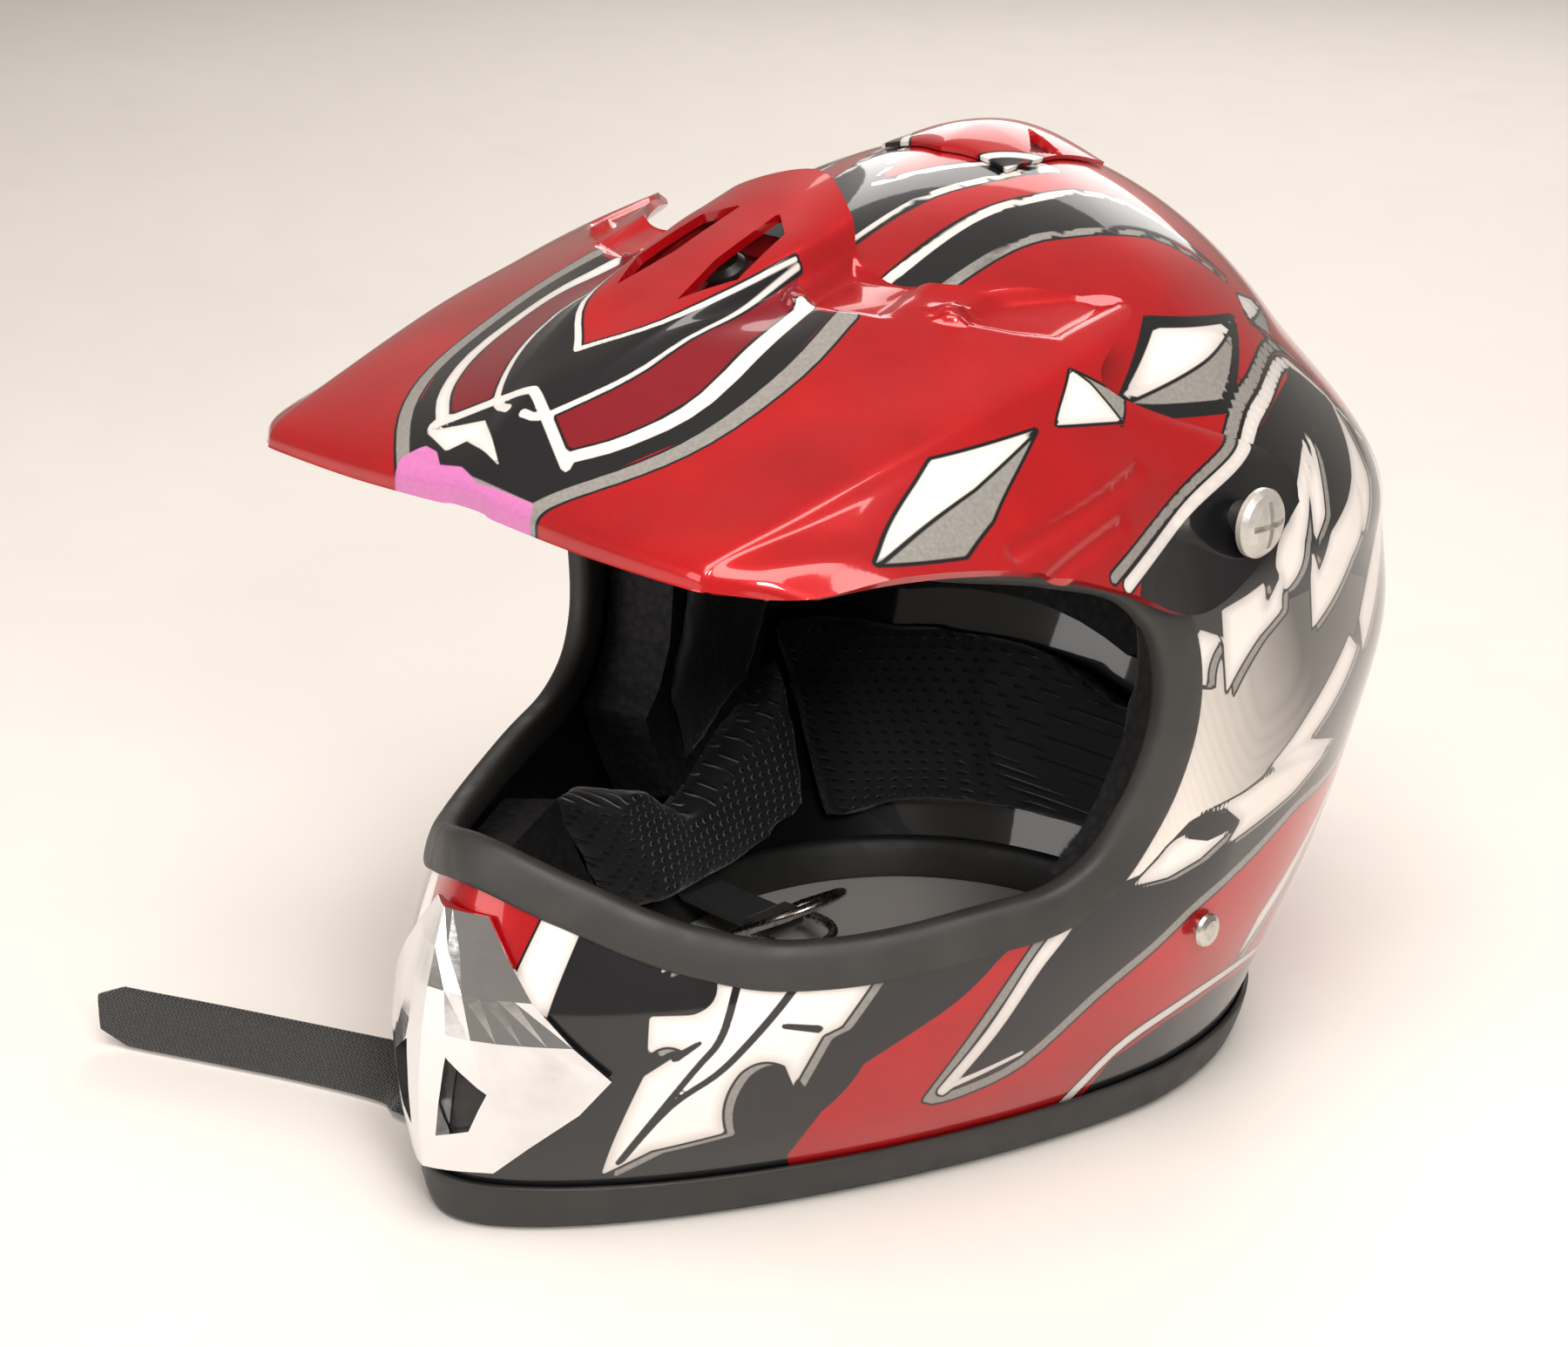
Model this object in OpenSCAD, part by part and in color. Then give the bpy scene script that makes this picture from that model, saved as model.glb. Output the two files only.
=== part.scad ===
/* [Shell] */
// Height of the crown above the table
shell_top = 267; // [263:1:272]
// Wall thickness of the outer shell
shell_wall = 3.6; // [3:0.1:3.9]
// Clear gap between neighbouring parts
part_gap = 0.5; // [0.4:0.05:0.6]

/* [Padding] */
// Thickness of the crown foam
foam_wall = 24; // [20:1:26]
// Thickness of the crown comfort pad
comfort_wall = 8; // [6:0.5:10]
// Thickness of the cheek pads
cheek_wall = 28; // [24:1:32]

/* [Rubber trims] */
// Width of the eyeport trim over the shell
trim_width = 8; // [7:0.5:9]
// Height of the bottom trim
trim_height = 14; // [12:0.5:15]

/* [Peak] */
// Thickness of the peak
peak_wall = 2.6; // [2.2:0.1:3]
// Diameter of the side screw heads
screw_head_d = 19; // [17:0.5:20]
// Diameter of the side screw shanks
screw_shank_d = 6; // [5:0.5:6.5]

/* [Chin strap] */
// Width of the chin strap webbing
strap_width = 20; // [18:1:22]
// Thickness of the chin strap webbing
strap_wall = 2; // [1.6:0.1:2.2]
// Diameter of the strap rivet heads
rivet_head_d = 10; // [9:0.5:11]

/* [Hidden] */
$fn = 48;
waist_z = 165;
waist_r = 0.45;
eye_y = 0.5;
crown_pow = 1.7;
rear_pow = 1.65;
crown_plan = 1.65;
crown_shift = 20;
edge_z = 5;
stations = 72;
rows = [
    [0, 96, 191, 97, 1.4, 5],
    [30, 106, 191, 107, 1.6, 5],
    [65, 116, 189, 125, 1.6, 7],
    [100, 122, 181, 139, 1.38, 9],
    [130, 126, 170, 143, 1.5, 12],
    [165, 126, 156, 137, 1.85, 11]
];
eye_half = [
    [0, 104.5], [8.5, 97.5], [15, 90], [21, 84.5], [28, 80.5], [37, 80], [47, 82], [59, 84.5],
    [67, 92], [72, 107], [73.8, 127], [73.7, 147], [71.5, 164], [66.5, 176], [56, 183],
    [42, 187], [22, 190.5]
];
eye_knots = concat(
    eye_half,
    [[0, 191]],
    [for (i = [len(eye_half) - 1:-1:1]) [-eye_half[i][0], eye_half[i][1]]]
);

function slope(k, i) =
    i == 0 ? (rows[1][k] - rows[0][k]) / (rows[1][0] - rows[0][0])
    : i == 5 ? 0
    : (rows[i + 1][k] - rows[i - 1][k]) / (rows[i + 1][0] - rows[i - 1][0]);
function rowOf(z) = z < 30 ? 0 : z < 65 ? 1 : z < 100 ? 2 : z < 130 ? 3 : 4;
function level(k, z) =
    let (i = rowOf(z), h = rows[i + 1][0] - rows[i][0], t = (z - rows[i][0]) / h)
    (2 * t^3 - 3 * t^2 + 1) * rows[i][k] + (t^3 - 2 * t^2 + t) * h * slope(k, i)
    + (3 * t^2 - 2 * t^3) * rows[i + 1][k] + (t^3 - t^2) * h * slope(k, i + 1);
function ease(t) = let (q = min(1, max(0, t))) q * q * (3 - 2 * q);
// disk radius 0 is the crown and 1 the table, azimuth 0 is the front
function surf(r, a) =
    let (
        g = r < waist_r ? sin(90 * r / waist_r) : 1,
        u = g < 1 ? (1 - g^crown_pow)^(1 / crown_pow) : 0,
        gb = u > 0 ? (1 - u^rear_pow)^(1 / rear_pow) : 1,
        zl = r < waist_r ? waist_z : waist_z * (1 - (r - waist_r) / (1 - waist_r)),
        z = r < waist_r ? waist_z + (shell_top - waist_z) * u : zl,
        w = level(1, zl) * g,
        f = level(2, zl) * g,
        b = level(3, zl) * gb,
        q = ease(2 * u),
        n = cos(a) > 0 ? level(4, zl) * (1 - q) + crown_plan * q : 2.2 + (crown_plan - 2.2) * q,
        c = level(5, zl) + crown_shift * u * u,
        s = sqrt(sin(a)^2 + 0.004),
        k = abs(cos(a)),
        l = cos(a) > 0 ? f : b,
        R = 1 / ((s / w)^n + (k / l)^n)^(1 / n)
    )
    [R * sin(a), c - R * cos(a), z];
function diskSurf(d) = surf(max(0.0001, norm(d)), atan2(d[0], -d[1]));
function unit(v) = v / norm(v);
function diskNormal(d) =
    unit(cross(
        diskSurf(d + [0.004, 0]) - diskSurf(d - [0.004, 0]),
        diskSurf(d + [0, 0.004]) - diskSurf(d - [0, 0.004])
    ));
function diskR(z) =
    z < waist_z ? waist_r + (1 - waist_r) * (1 - z / waist_z)
    : let (u = (z - waist_z) / (shell_top - waist_z))
    waist_r * asin((1 - u^crown_pow)^(1 / crown_pow)) / 90;
function diskAt(a, z) = diskR(z) * [sin(a), -cos(a)];
function mix(a, b, t) = a + (b - a) * t;
function curve(p, i, t) =
    let (
        n = len(p),
        a = p[(i + n - 1) % n],
        b = p[i],
        c = p[(i + 1) % n],
        d = p[(i + 2) % n]
    )
    0.5 * (2 * b + (c - a) * t + (2 * a - 5 * b + 4 * c - d) * t^2 + (3 * b - a - 3 * c + d) * t^3);
eye_disk = [for (k = eye_knots) diskAt(k[0], k[1])];
eye_path = [for (i = [0:len(eye_disk) - 1], t = [0, 0.25, 0.5, 0.75]) curve(eye_disk, i, t)];
eye_polar = [for (p = eye_path) [atan2(p[0], -(p[1] + eye_y)), norm(p + [0, eye_y])]];
eye_half_table = [for (p = eye_polar) if (p[0] >= -0.01 && p[0] <= 180) p];
function eyeR(f) = lookup(abs(f), eye_half_table);
edge_r = diskR(edge_z);
function line(b, t) =
    let (
        e = edge_r * [sin(b), -cos(b)],
        f = atan2(e[0], -(e[1] + eye_y)),
        s = [0, -eye_y] + eyeR(f) * [sin(f), -cos(f)]
    )
    mix(s, e, t);
function on(b, t, off) = let (d = line(b, t)) diskSurf(d) + off * diskNormal(d);

function quad(a, b, c, d) = [[a, b, c], [a, c, d]];
function flat(l) = [for (a = l, b = a) b];

// outer and inner are grids of points, station by station
module slab(outer, inner, closed) {
    ns = len(outer);
    nt = len(outer[0]);
    m = ns * nt;
    last = closed ? ns - 1 : ns - 2;
    faces = flat(concat(
        [for (i = [0:last], j = [0:nt - 2]) let (a = i * nt + j, b = ((i + 1) % ns) * nt + j)
            concat(quad(a, b, b + 1, a + 1), quad(m + a, m + a + 1, m + b + 1, m + b))],
        [for (i = [0:last]) let (a = i * nt, b = ((i + 1) % ns) * nt, z = nt - 1)
            concat(quad(b, a, m + a, m + b), quad(a + z, b + z, m + b + z, m + a + z))],
        closed ? [] : [for (j = [0:nt - 2]) let (e = (ns - 1) * nt + j)
            concat(quad(j, j + 1, m + j + 1, m + j), quad(e + 1, e, m + e, m + e + 1))]
    ));
    polyhedron(concat(flat(outer), flat(inner)), faces, convexity = 8);
}

// rings is a closed loop of sections, each a closed loop of points
module loop(rings) {
    ns = len(rings);
    nk = len(rings[0]);
    faces = flat([for (i = [0:ns - 1], k = [0:nk - 1])
        let (a = i * nk, b = ((i + 1) % ns) * nk, q = (k + 1) % nk)
        quad(a + k, b + k, b + q, a + q)]);
    polyhedron(flat(rings), faces, convexity = 8);
}

// rings is an open run of sections with flat ends
module run(rings) {
    ns = len(rings);
    nk = len(rings[0]);
    e = (ns - 1) * nk;
    faces = concat(
        flat([for (i = [0:ns - 2], k = [0:nk - 1])
            let (a = i * nk, b = a + nk, q = (k + 1) % nk)
            quad(a + k, b + k, b + q, a + q)]),
        [[for (k = [0:nk - 1]) k]],
        [[for (k = [nk - 1:-1:0]) e + k]]
    );
    polyhedron(flat(rings), faces, convexity = 8);
}

function spread(a, b, n) = [for (i = [0:n]) a + (b - a) * i / n];
ring_stations = [for (i = [0:stations - 1]) i * 360 / stations];
foam_gap = 1.3;
shell_gap = 2.4;
foam_out = -(shell_wall + shell_gap);
foam_in = -(shell_wall + foam_gap + foam_wall);
comfort_out = foam_in - foam_gap;

// the crown foam stops above the cheek pads and the neck roll
function foamEnd(b) = lookup(abs(b - 180), [[0, 0.83], [40, 0.76], [70, 0.66], [90, 0.58], [104, 0.56]]);

screw_y = -1;
screw_z = 188;
screw_x = 118.6;
rivet_y = 1;
rivet_z = 64;
rivet_x = 115.6;
rivet_shank_d = 5;
// where the middle screw meets the shell, and its lean
center_y = -68;
center_z = 240.5;
center_lean = 28;
module centerPlace() {
    translate([0, center_y, center_z]) rotate([center_lean, 0, 0]) children();
}

module outerShell() {
    color("firebrick")
    difference() {
        slab(
            [for (b = ring_stations) [for (t = spread(0, 1, 17)) on(b, t, 0)]],
            [for (b = ring_stations) [for (t = spread(0, 1, 17)) on(b, t, -shell_wall)]],
            true
        );
        translate([0, screw_y, screw_z]) rotate([0, 90, 0]) cylinder(d = 9.6, h = 320, center = true);
        translate([0, rivet_y, rivet_z]) rotate([0, 90, 0]) cylinder(d = rivet_shank_d + 0.6, h = 320, center = true);
        centerPlace() cylinder(d = 9.6, h = 40, center = true);
    }
}
foam_stations = spread(80, 280, 40);
foam_start = 0.12;
// the room in the foam for the anchor plate and the strap, seen from behind
anchor_room = [[97, 78], [97, 36], [86, 12], [125, 12], [125, 78]];
module epsLiner() {
    bs = foam_stations;
    color("dimgray")
    difference() {
        slab(
            [for (b = bs) [for (t = spread(foam_start, foamEnd(b), 11)) on(b, t, foam_out)]],
            [for (b = bs) [for (t = spread(foam_start, foamEnd(b), 11)) on(b, t, foam_in)]],
            false
        );
        translate([0, screw_y, screw_z]) rotate([0, 90, 0]) cylinder(d = 23, h = 320, center = true);
        centerPlace() translate([0, 0, -20]) cylinder(d = 23, h = 60);
        for (m = [0, 1]) mirror([m, 0, 0]) translate([0, rivet_y + 15, 0]) rotate([90, 0, 0])
            linear_extrude(30) polygon(anchor_room);
    }
}
module chinBarEps() {
    outer = [for (b = spread(-54, 54, 24)) [for (t = spread(0.15, 0.84, 5)) on(b, t, foam_out)]];
    color("dimgray")
    slab(outer, [for (s = outer) [for (p = s) [p[0] * 0.86, p[1] + 11, p[2]]]], false);
}
module comfortLiner() {
    bs = spread(85, 275, 38);
    color("black")
    slab(
        [for (b = bs) [for (t = spread(foam_start + 0.02, foamEnd(b) - 0.03, 11)) on(b, t, comfort_out)]],
        [for (b = bs) [for (t = spread(foam_start + 0.02, foamEnd(b) - 0.03, 11))
            on(b, t, comfort_out - comfort_wall)]],
        false
    );
}
function padTop(b) = lookup(b, [[58, 0.2], [68, 0.26], [76, 0.62], [90, foamEnd(90) + 0.04], [112, foamEnd(112) + 0.04]]);
pad_out = -13;
module cheekPad() {
    bs = spread(58, 112, 14);
    color("black")
    slab(
        [for (b = bs) [for (t = spread(padTop(b), 0.9, 6)) on(b, t, pad_out)]],
        [for (b = bs) [for (t = spread(padTop(b), 0.9, 6)) on(b, t, pad_out - cheek_wall)]],
        false
    );
}
module cheekPadLeft() {
    cheekPad();
}
module cheekPadRight() {
    mirror([1, 0, 0]) cheekPad();
}
neck_fill = 0.8;
neck_relief = 5.5;
module neckRoll() {
    bs = spread(119, 241, 24);
    color("black")
    slab(
        [for (b = bs) [for (t = spread(foamEnd(b) + 0.03, 0.962, 3)) on(b, t, foam_out + neck_fill)]],
        [for (b = bs) [for (t = spread(foamEnd(b) + 0.03, 0.962, 3)) on(b, t, foam_in + neck_relief)]],
        false
    );
}

lip_out = 0.35;
lip_in = -shell_wall - 0.35;
trim_section = [
    [trim_width, lip_out], [-0.5, lip_out], [-0.5, lip_in], [trim_width - 0.5, lip_in],
    [trim_width - 0.5, lip_in - 1.6], [trim_width - 1.5, lip_in - 2.4], [0, lip_in - 2.6],
    [-3, lip_in - 2], [-4, lip_in], [-3.8, 0], [-2.6, 2], [0, 2.8], [trim_width - 2, 2.2],
    [trim_width - 0.4, 1.4]
];
function rimFrame(b) =
    let (
        p = on(b, 0, 0),
        n = diskNormal(line(b, 0)),
        w = unit(on(b + 1, 0, 0) - on(b - 1, 0, 0)),
        v = on(b, 0.02, 0) - p,
        e = unit(v - (v * w) * w - (v * n) * n)
    )
    [p, e, n];
module eyeportTrim() {
    color("black")
    loop([for (b = ring_stations) let (q = rimFrame(b))
        [for (k = trim_section) q[0] + k[0] * q[1] + k[1] * q[2]]]);
}

// the strap runs out under the chin at this azimuth, where the rubber gives way
strap_exit = -15;
function footLift(b) = abs((b > 180 ? b - 360 : b) - strap_exit) < 6 ? 3.4 : -1;
foot_section = [
    [-1, 1], [-1, -8.5], [11.4, -8.5], [12.6, -6], [11.8, -4.5], [4.4, -4.5], [4.4, 0.4],
    [trim_height, 0.4], [trim_height - 1.4, 2.3], [8, 2.8], [1.4, 2.4]
];
function edgeAt(b, z, off) =
    let (d = diskR(z) * [sin(b), -cos(b)], n = diskNormal(d)) diskSurf(d) + off * unit([n[0], n[1], 0]);
module bottomTrim() {
    color("black")
    difference() {
        loop([for (b = ring_stations)
            [for (k = foot_section) edgeAt(b, k[0] < 2 ? max(k[0], footLift(b)) : k[0], k[1])]]);
        // one flat underside
        translate([-200, -260, -10]) cube([400, 500, 10]);
    }
}

peak_net = [
    [[0, -165, 201], [6, -165, 200.8], [13, -166, 200.3], [46, -166, 199], [80, -165, 199], [86, -163, 199],
        [92, -159, 198.5], [97, -154, 197.5]],
    [[0, -163, 210], [6, -163, 209.8], [13, -163, 209.3], [46, -163, 207], [80, -161, 206], [87, -158, 205],
        [96, -152, 203], [105, -144, 197.5]],
    [[0, -143, 227], [8, -142, 226.5], [16, -142, 225], [48, -140, 219], [84, -134, 215], [94, -130, 211],
        [105, -124, 206], [115, -122, 200]],
    [[0, -108, 243], [14, -112, 241.5], [22, -113, 238], [50, -104, 233], [88, -95, 226], [99, -94, 220],
        [111, -88, 208], [123, -88, 194.5]],
    [[0, -80, 254], [19, -86, 250], [27, -88, 242.5], [52, -80, 241], [90, -60, 234], [101, -68, 225],
        [115, -52, 208], [127, -53, 181]],
    [[0, -62, 260], [21, -68, 256], [29, -72, 246.5], [53, -66, 245], [90.5, -38, 239], [102, -54, 227],
        [114.5, -22, 207], [127, -22, 167]],
    [[0, -49, 264.5], [22, -56, 259], [30, -60, 248.5], [54, -57, 247], [90.5, -24, 241.5], [103, -44, 228],
        [117.5, 1, 204], [128.6, 1, 175]],
    [[0, -36, 268.5], [22, -46, 262], [31, -50, 250], [55, -50, 249], [90, -12, 243.5], [104, -36, 227.5],
        [117.8, 20, 200], [124.4, 24, 187]]
];
peak_full = [for (r = peak_net) concat(
    [for (i = [len(r) - 1:-1:1]) [-r[i][0], r[i][1], r[i][2]]],
    r
)];
function clampAt(l, i) = l[min(len(l) - 1, max(0, i))];
function bend(a, b, c, d, t) =
    0.5 * (2 * b + (c - a) * t + (2 * a - 5 * b + 4 * c - d) * t^2 + (3 * b - a - 3 * c + d) * t^3);
function along(l, x) =
    let (i = min(len(l) - 2, floor(x)), t = x - i)
    bend(clampAt(l, i - 1), l[i], l[i + 1], clampAt(l, i + 2), t);
function peakAt(u, v) = along([for (r = peak_full) along(r, min(14, max(0, u)))], min(7, max(0, v)));
function peakNormal(u, v) =
    unit(cross(peakAt(u + 0.1, v) - peakAt(u - 0.1, v), peakAt(u, v + 0.1) - peakAt(u, v - 0.1)));
peak_us = [for (i = [0:13], t = [0:2]) i + t / 3];
peak_outer = [for (u = concat(peak_us, [14])) [for (v = spread(7, 0, 14)) peakAt(u, v)]];
peak_inner = [for (u = concat(peak_us, [14])) [for (v = spread(7, 0, 14))
    peakAt(u, v) - peak_wall * peakNormal(u, v)]];
rib_side = [[-101, 226.6], [-108, 236.5], [-88, 244], [-68, 254], [-56, 258], [-54.5, 251.5], [-56, 249.4]];
vent_shape = [[12, -102], [20, -84], [19, -64], [8, -70], [6.5, -86]];
module peak() {
    color("red")
    resize([0, 0, 0])
    difference() {
        union() {
            slab(peak_outer, peak_inner, false);
            // the tongue and ribs under the scoop that the middle screw holds
            centerPlace() translate([-23, -36, 2.7]) cube([46, 54, 2.1]);
            for (m = [-23, 20.8]) translate([m, 0, 0]) rotate([90, 0, 90])
                linear_extrude(2.2) polygon(rib_side);
        }
        for (m = [0, 1]) mirror([m, 0, 0]) translate([0, 0, 240]) linear_extrude(60) polygon(vent_shape);
        translate([0, screw_y, screw_z]) rotate([0, 90, 0]) cylinder(d = 9.8, h = 400, center = true);
        centerPlace() hull() {
            translate([0, -9, 0]) cylinder(d = 10, h = 12);
            translate([0, 9, 0]) cylinder(d = 10, h = 12);
        }
    }
}

module sideWays() {
    translate([0, screw_y, screw_z]) rotate([0, 90, 0]) children();
}
module bushing() {
    color("dimgray")
    sideWays() difference() {
        union() {
            translate([0, 0, 122]) cylinder(d = 9.2, h = 6.2);
            translate([0, 0, 127.4]) cylinder(d = 14, h = 1);
        }
        translate([0, 0, 121]) cylinder(d = screw_shank_d + 0.1, h = 8);
    }
}
module peakBushingLeft() {
    bushing();
}
module peakBushingRight() {
    mirror([1, 0, 0]) bushing();
}
module coinSlots() {
    for (q = [0, 90]) rotate([0, 0, q]) translate([-screw_head_d * 0.34, -0.9, 0]) cube([screw_head_d * 0.68, 1.8, 5]);
}
module sideScrew() {
    color("gainsboro")
    sideWays() difference() {
        union() {
            translate([0, 0, 107]) cylinder(d = screw_shank_d, h = 22);
            translate([0, 0, 128.7]) rotate_extrude() polygon([
                [0, 0], [screw_head_d / 2, 0], [screw_head_d / 2, 1.6], [screw_head_d / 2 - 1.2, 3],
                [screw_head_d / 2 - 3.6, 4.2], [screw_head_d / 2 - 6, 4.8], [0, 5.2]
            ]);
        }
        translate([0, 0, 131.9]) coinSlots();
    }
}
module peakScrewLeft() {
    sideScrew();
}
module peakScrewRight() {
    mirror([1, 0, 0]) sideScrew();
}
module tnut() {
    color("silver")
    difference() {
        union() {
            translate([0, 0, -11.6]) cylinder(d = 18, h = 1.6);
            translate([0, 0, -11]) cylinder(d = 9, h = 10);
        }
        translate([0, 0, -12]) cylinder(d = screw_shank_d + 0.1, h = 12);
    }
}
module tnutLeft() {
    sideWays() translate([0, 0, screw_x]) tnut();
}
module tnutRight() {
    mirror([1, 0, 0]) sideWays() translate([0, 0, screw_x]) tnut();
}
module tnutCenter() {
    centerPlace() tnut();
}
module peakScrewCenter() {
    color("dimgray")
    centerPlace() difference() {
        union() {
            translate([0, 0, -9]) cylinder(d = screw_shank_d, h = 16.6);
            translate([0, 0, 7.2]) cylinder(d = 13, h = 1);
            translate([0, 0, 8.1]) cylinder(d1 = 12, d2 = 9, h = 2);
        }
        translate([0, 0, 9.1]) rotate([0, 0, 45]) translate([-3.5, -0.7, 0]) cube([7, 1.4, 3]);
    }
}

// the nose vent stands on the front of the chin bar
vent_rows = [[20, 5], [29, 8], [40, 12], [50, 14.5], [59, 11.5], [70, 8], [80, 5.5], [90, 3]];
function noseAt(a, z, off) = let (d = diskR(z) * [sin(a), -cos(a)]) diskSurf(d) + off * diskNormal(d);
module nosePlate(grow, low, edge, keel) {
    us = spread(-1, 1, 12);
    slab(
        [for (u = us) [for (i = [len(vent_rows) - 1:-1:0]) let (r = vent_rows[i])
            noseAt(u * grow * r[1], r[0], edge + keel * (1 - abs(u))^1.4)]],
        [for (u = us) [for (i = [len(vent_rows) - 1:-1:0]) let (r = vent_rows[i])
            noseAt(u * grow * r[1], r[0], low)]],
        false
    );
}
nose_window = [[5, 30], [14, 33], [19, 45], [8, 54]];
module noseVent() {
    color("gainsboro")
    resize([0, 0, 0])
    difference() {
        nosePlate(1, 1.8, 3, 4.5);
        for (m = [0, 1]) mirror([m, 0, 0]) translate([0, -100, 0]) rotate([90, 0, 0])
            linear_extrude(140) polygon(nose_window);
    }
}
module noseVentMesh() {
    color("dimgray")
    intersection() {
        nosePlate(0.85, 0.5, 1.3, 0);
        translate([-40, -220, 26]) cube([80, 100, 34]);
    }
}
module crownVent() {
    us = spread(-1, 1, 10);
    color("firebrick")
    slab(
        [for (u = us) [for (v = spread(1, 0, 8)) let (d = [0.055 * u, -0.03 + 0.11 * v])
            diskSurf(d) + (1.6 + 3.4 * (1 - u * u) * sin(180 * v)^0.6) * diskNormal(d)]],
        [for (u = us) [for (v = spread(1, 0, 8)) let (d = [0.055 * u, -0.03 + 0.11 * v])
            diskSurf(d) + part_gap * diskNormal(d)]],
        false
    );
}

// each row is a point on the middle of the webbing and its width direction
strap_path = [
    [[107.9, 1, 57.7], [0, 1, 0]], [[104.6, 1, 57.4], [0, 1, 0]], [[103.4, 1, 54], [0, 1, 0]],
    [[102.2, 0, 45], [0, 1, 0]], [[98.3, 0, 31], [0.1, 1, 0]],
    [[94.6, -1, 22.8], [0.05, 1, 0]], [[88.9, -6.4, 16.4], [-0.2, 1, 0]], [[74, -21, 8.6], [-0.5, 1, 0]],
    [[60, -40, 2.4], [-0.8, 1, 0]], [[44, -64, 1.3], [-1, 1, 0]], [[18, -94, 1.3], [-1, 1.1, 0]],
    [[-12, -121, 1.3], [-0.75, 1, 0]], [[-32, -135.5, 1.3], [-0.5, 1, 0]], [[-45, -143.4, 1.3], [-0.5, 1, 0]],
    [[-51, -146.5, 5.3], [-0.4, 0.9, 0.4]], [[-56.5, -149, 9.2], [-0.2, 0.5, 1.1]],
    [[-65, -152.3, 10.6], [0, 0.1, 1]], [[-89, -161, 10.6], [0, 0, 1]],
    [[-114, -171, 10.6], [0, 0, 1]], [[-139, -181.5, 10.6], [0, 0, 1]], [[-154, -187.5, 10.6], [0, 0, 1]]
];
short_path = [
    [[-107.9, 1, 57.7], [0, 1, 0]], [[-104.6, 1, 57.4], [0, 1, 0]], [[-103.4, 1, 54], [0, 1, 0]],
    [[-102.6, 1, 45], [0, 1, 0]], [[-99.8, 0, 31], [0, 1, 0]], [[-97, -1, 22.5], [0, 1, 0]],
    [[-91.6, -2, 16], [0, 1, 0]], [[-82, -3, 13], [0, 1, 0]], [[-70, -3, 12.6], [0, 1, 0]],
    [[-54.6, -3, 12.6], [0, 1, 0]]
];
function webbing(path, i, w, t) =
    let (
        n = len(path) - 1,
        k = unit(path[min(n, i + 1)][0] - path[max(0, i - 1)][0]),
        v = path[i][1],
        a = unit(v - (v * k) * k),
        c = cross(k, a),
        p = path[i][0]
    )
    [p + a * w / 2 + c * t / 2, p - a * w / 2 + c * t / 2, p - a * w / 2 - c * t / 2, p + a * w / 2 - c * t / 2];
module strapLong() {
    color("black")
    run([for (i = [0:len(strap_path) - 1])
        webbing(strap_path, i, i == len(strap_path) - 1 ? strap_width - 8 : strap_width, strap_wall)]);
}
ring_y = -3;
ring_z = 12.6;
ring_x = [-52, -47.6];
module strapShort() {
    color("black")
    union() {
        run([for (i = [0:len(short_path) - 1]) webbing(short_path, i, strap_width - 3, strap_wall)]);
        translate([0, ring_y, ring_z]) rotate([90, 0, 0])
            translate([0, 0, -(strap_width - 3) / 2]) linear_extrude(strap_width - 3) difference() {
            union() {
                translate([ring_x[0], -3.2]) square([4.4, 6.4]);
                for (x = ring_x) translate([x, 0]) circle(r = 3.2);
            }
            translate([ring_x[0], -1.9]) square([4.4, 3.8]);
            for (x = ring_x) translate([x, 0]) circle(r = 1.9);
        }
    }
}
ring_wire_d = 3.2;
module dRing(half, reach) {
    arm = reach - half;
    color("silver")
    union() {
        translate([0, half, 0]) rotate([90, 0, 0]) cylinder(d = ring_wire_d, h = 2 * half);
        for (m = [-1, 1]) translate([0, m * half, 0]) {
            rotate([0, 90, 0]) cylinder(d = ring_wire_d, h = arm);
            sphere(d = ring_wire_d);
        }
        translate([arm, 0, 0]) rotate([0, 0, -90]) rotate_extrude(angle = 180)
            translate([half, 0]) circle(d = ring_wire_d);
    }
}
ring_lean = [-30, 0];
module dRingOuter() {
    translate([ring_x[0], ring_y, ring_z]) rotate([0, ring_lean[0], 0]) dRing(15.5, 30);
}
module dRingInner() {
    translate([ring_x[1], ring_y, ring_z]) rotate([0, ring_lean[1], 0]) dRing(11.5, 20);
}

module atRivet() {
    translate([0, rivet_y, rivet_z]) rotate([0, 90, 0]) children();
}
module anchor() {
    color("silver")
    difference() {
        translate([105.5, rivet_y - 12.5, 54]) cube([1.6, 25, 18]);
        atRivet() translate([0, 0, 100]) cylinder(d = rivet_shank_d + 0.1, h = 20);
        translate([103, rivet_y - 10.5, 56]) cube([8, 21, 3.4]);
    }
}
module anchorLeft() {
    anchor();
}
module anchorRight() {
    mirror([1, 0, 0]) anchor();
}
module rivet() {
    color("silver")
    atRivet() union() {
        translate([0, 0, 103.9]) cylinder(d = 8.6, h = 1.2);
        translate([0, 0, 105]) cylinder(d = rivet_shank_d, h = 12.8);
        translate([0, 0, 117.6]) rotate_extrude() polygon([
            [0, 0], [rivet_head_d / 2, 0], [rivet_head_d / 2 - 0.4, 0.9], [rivet_head_d / 2 - 1.8, 1.8],
            [rivet_head_d / 2 - 3.4, 2.2], [0, 2.4]
        ]);
    }
}
module rivetLeft() {
    rivet();
}
module rivetRight() {
    mirror([1, 0, 0]) rivet();
}

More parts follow.
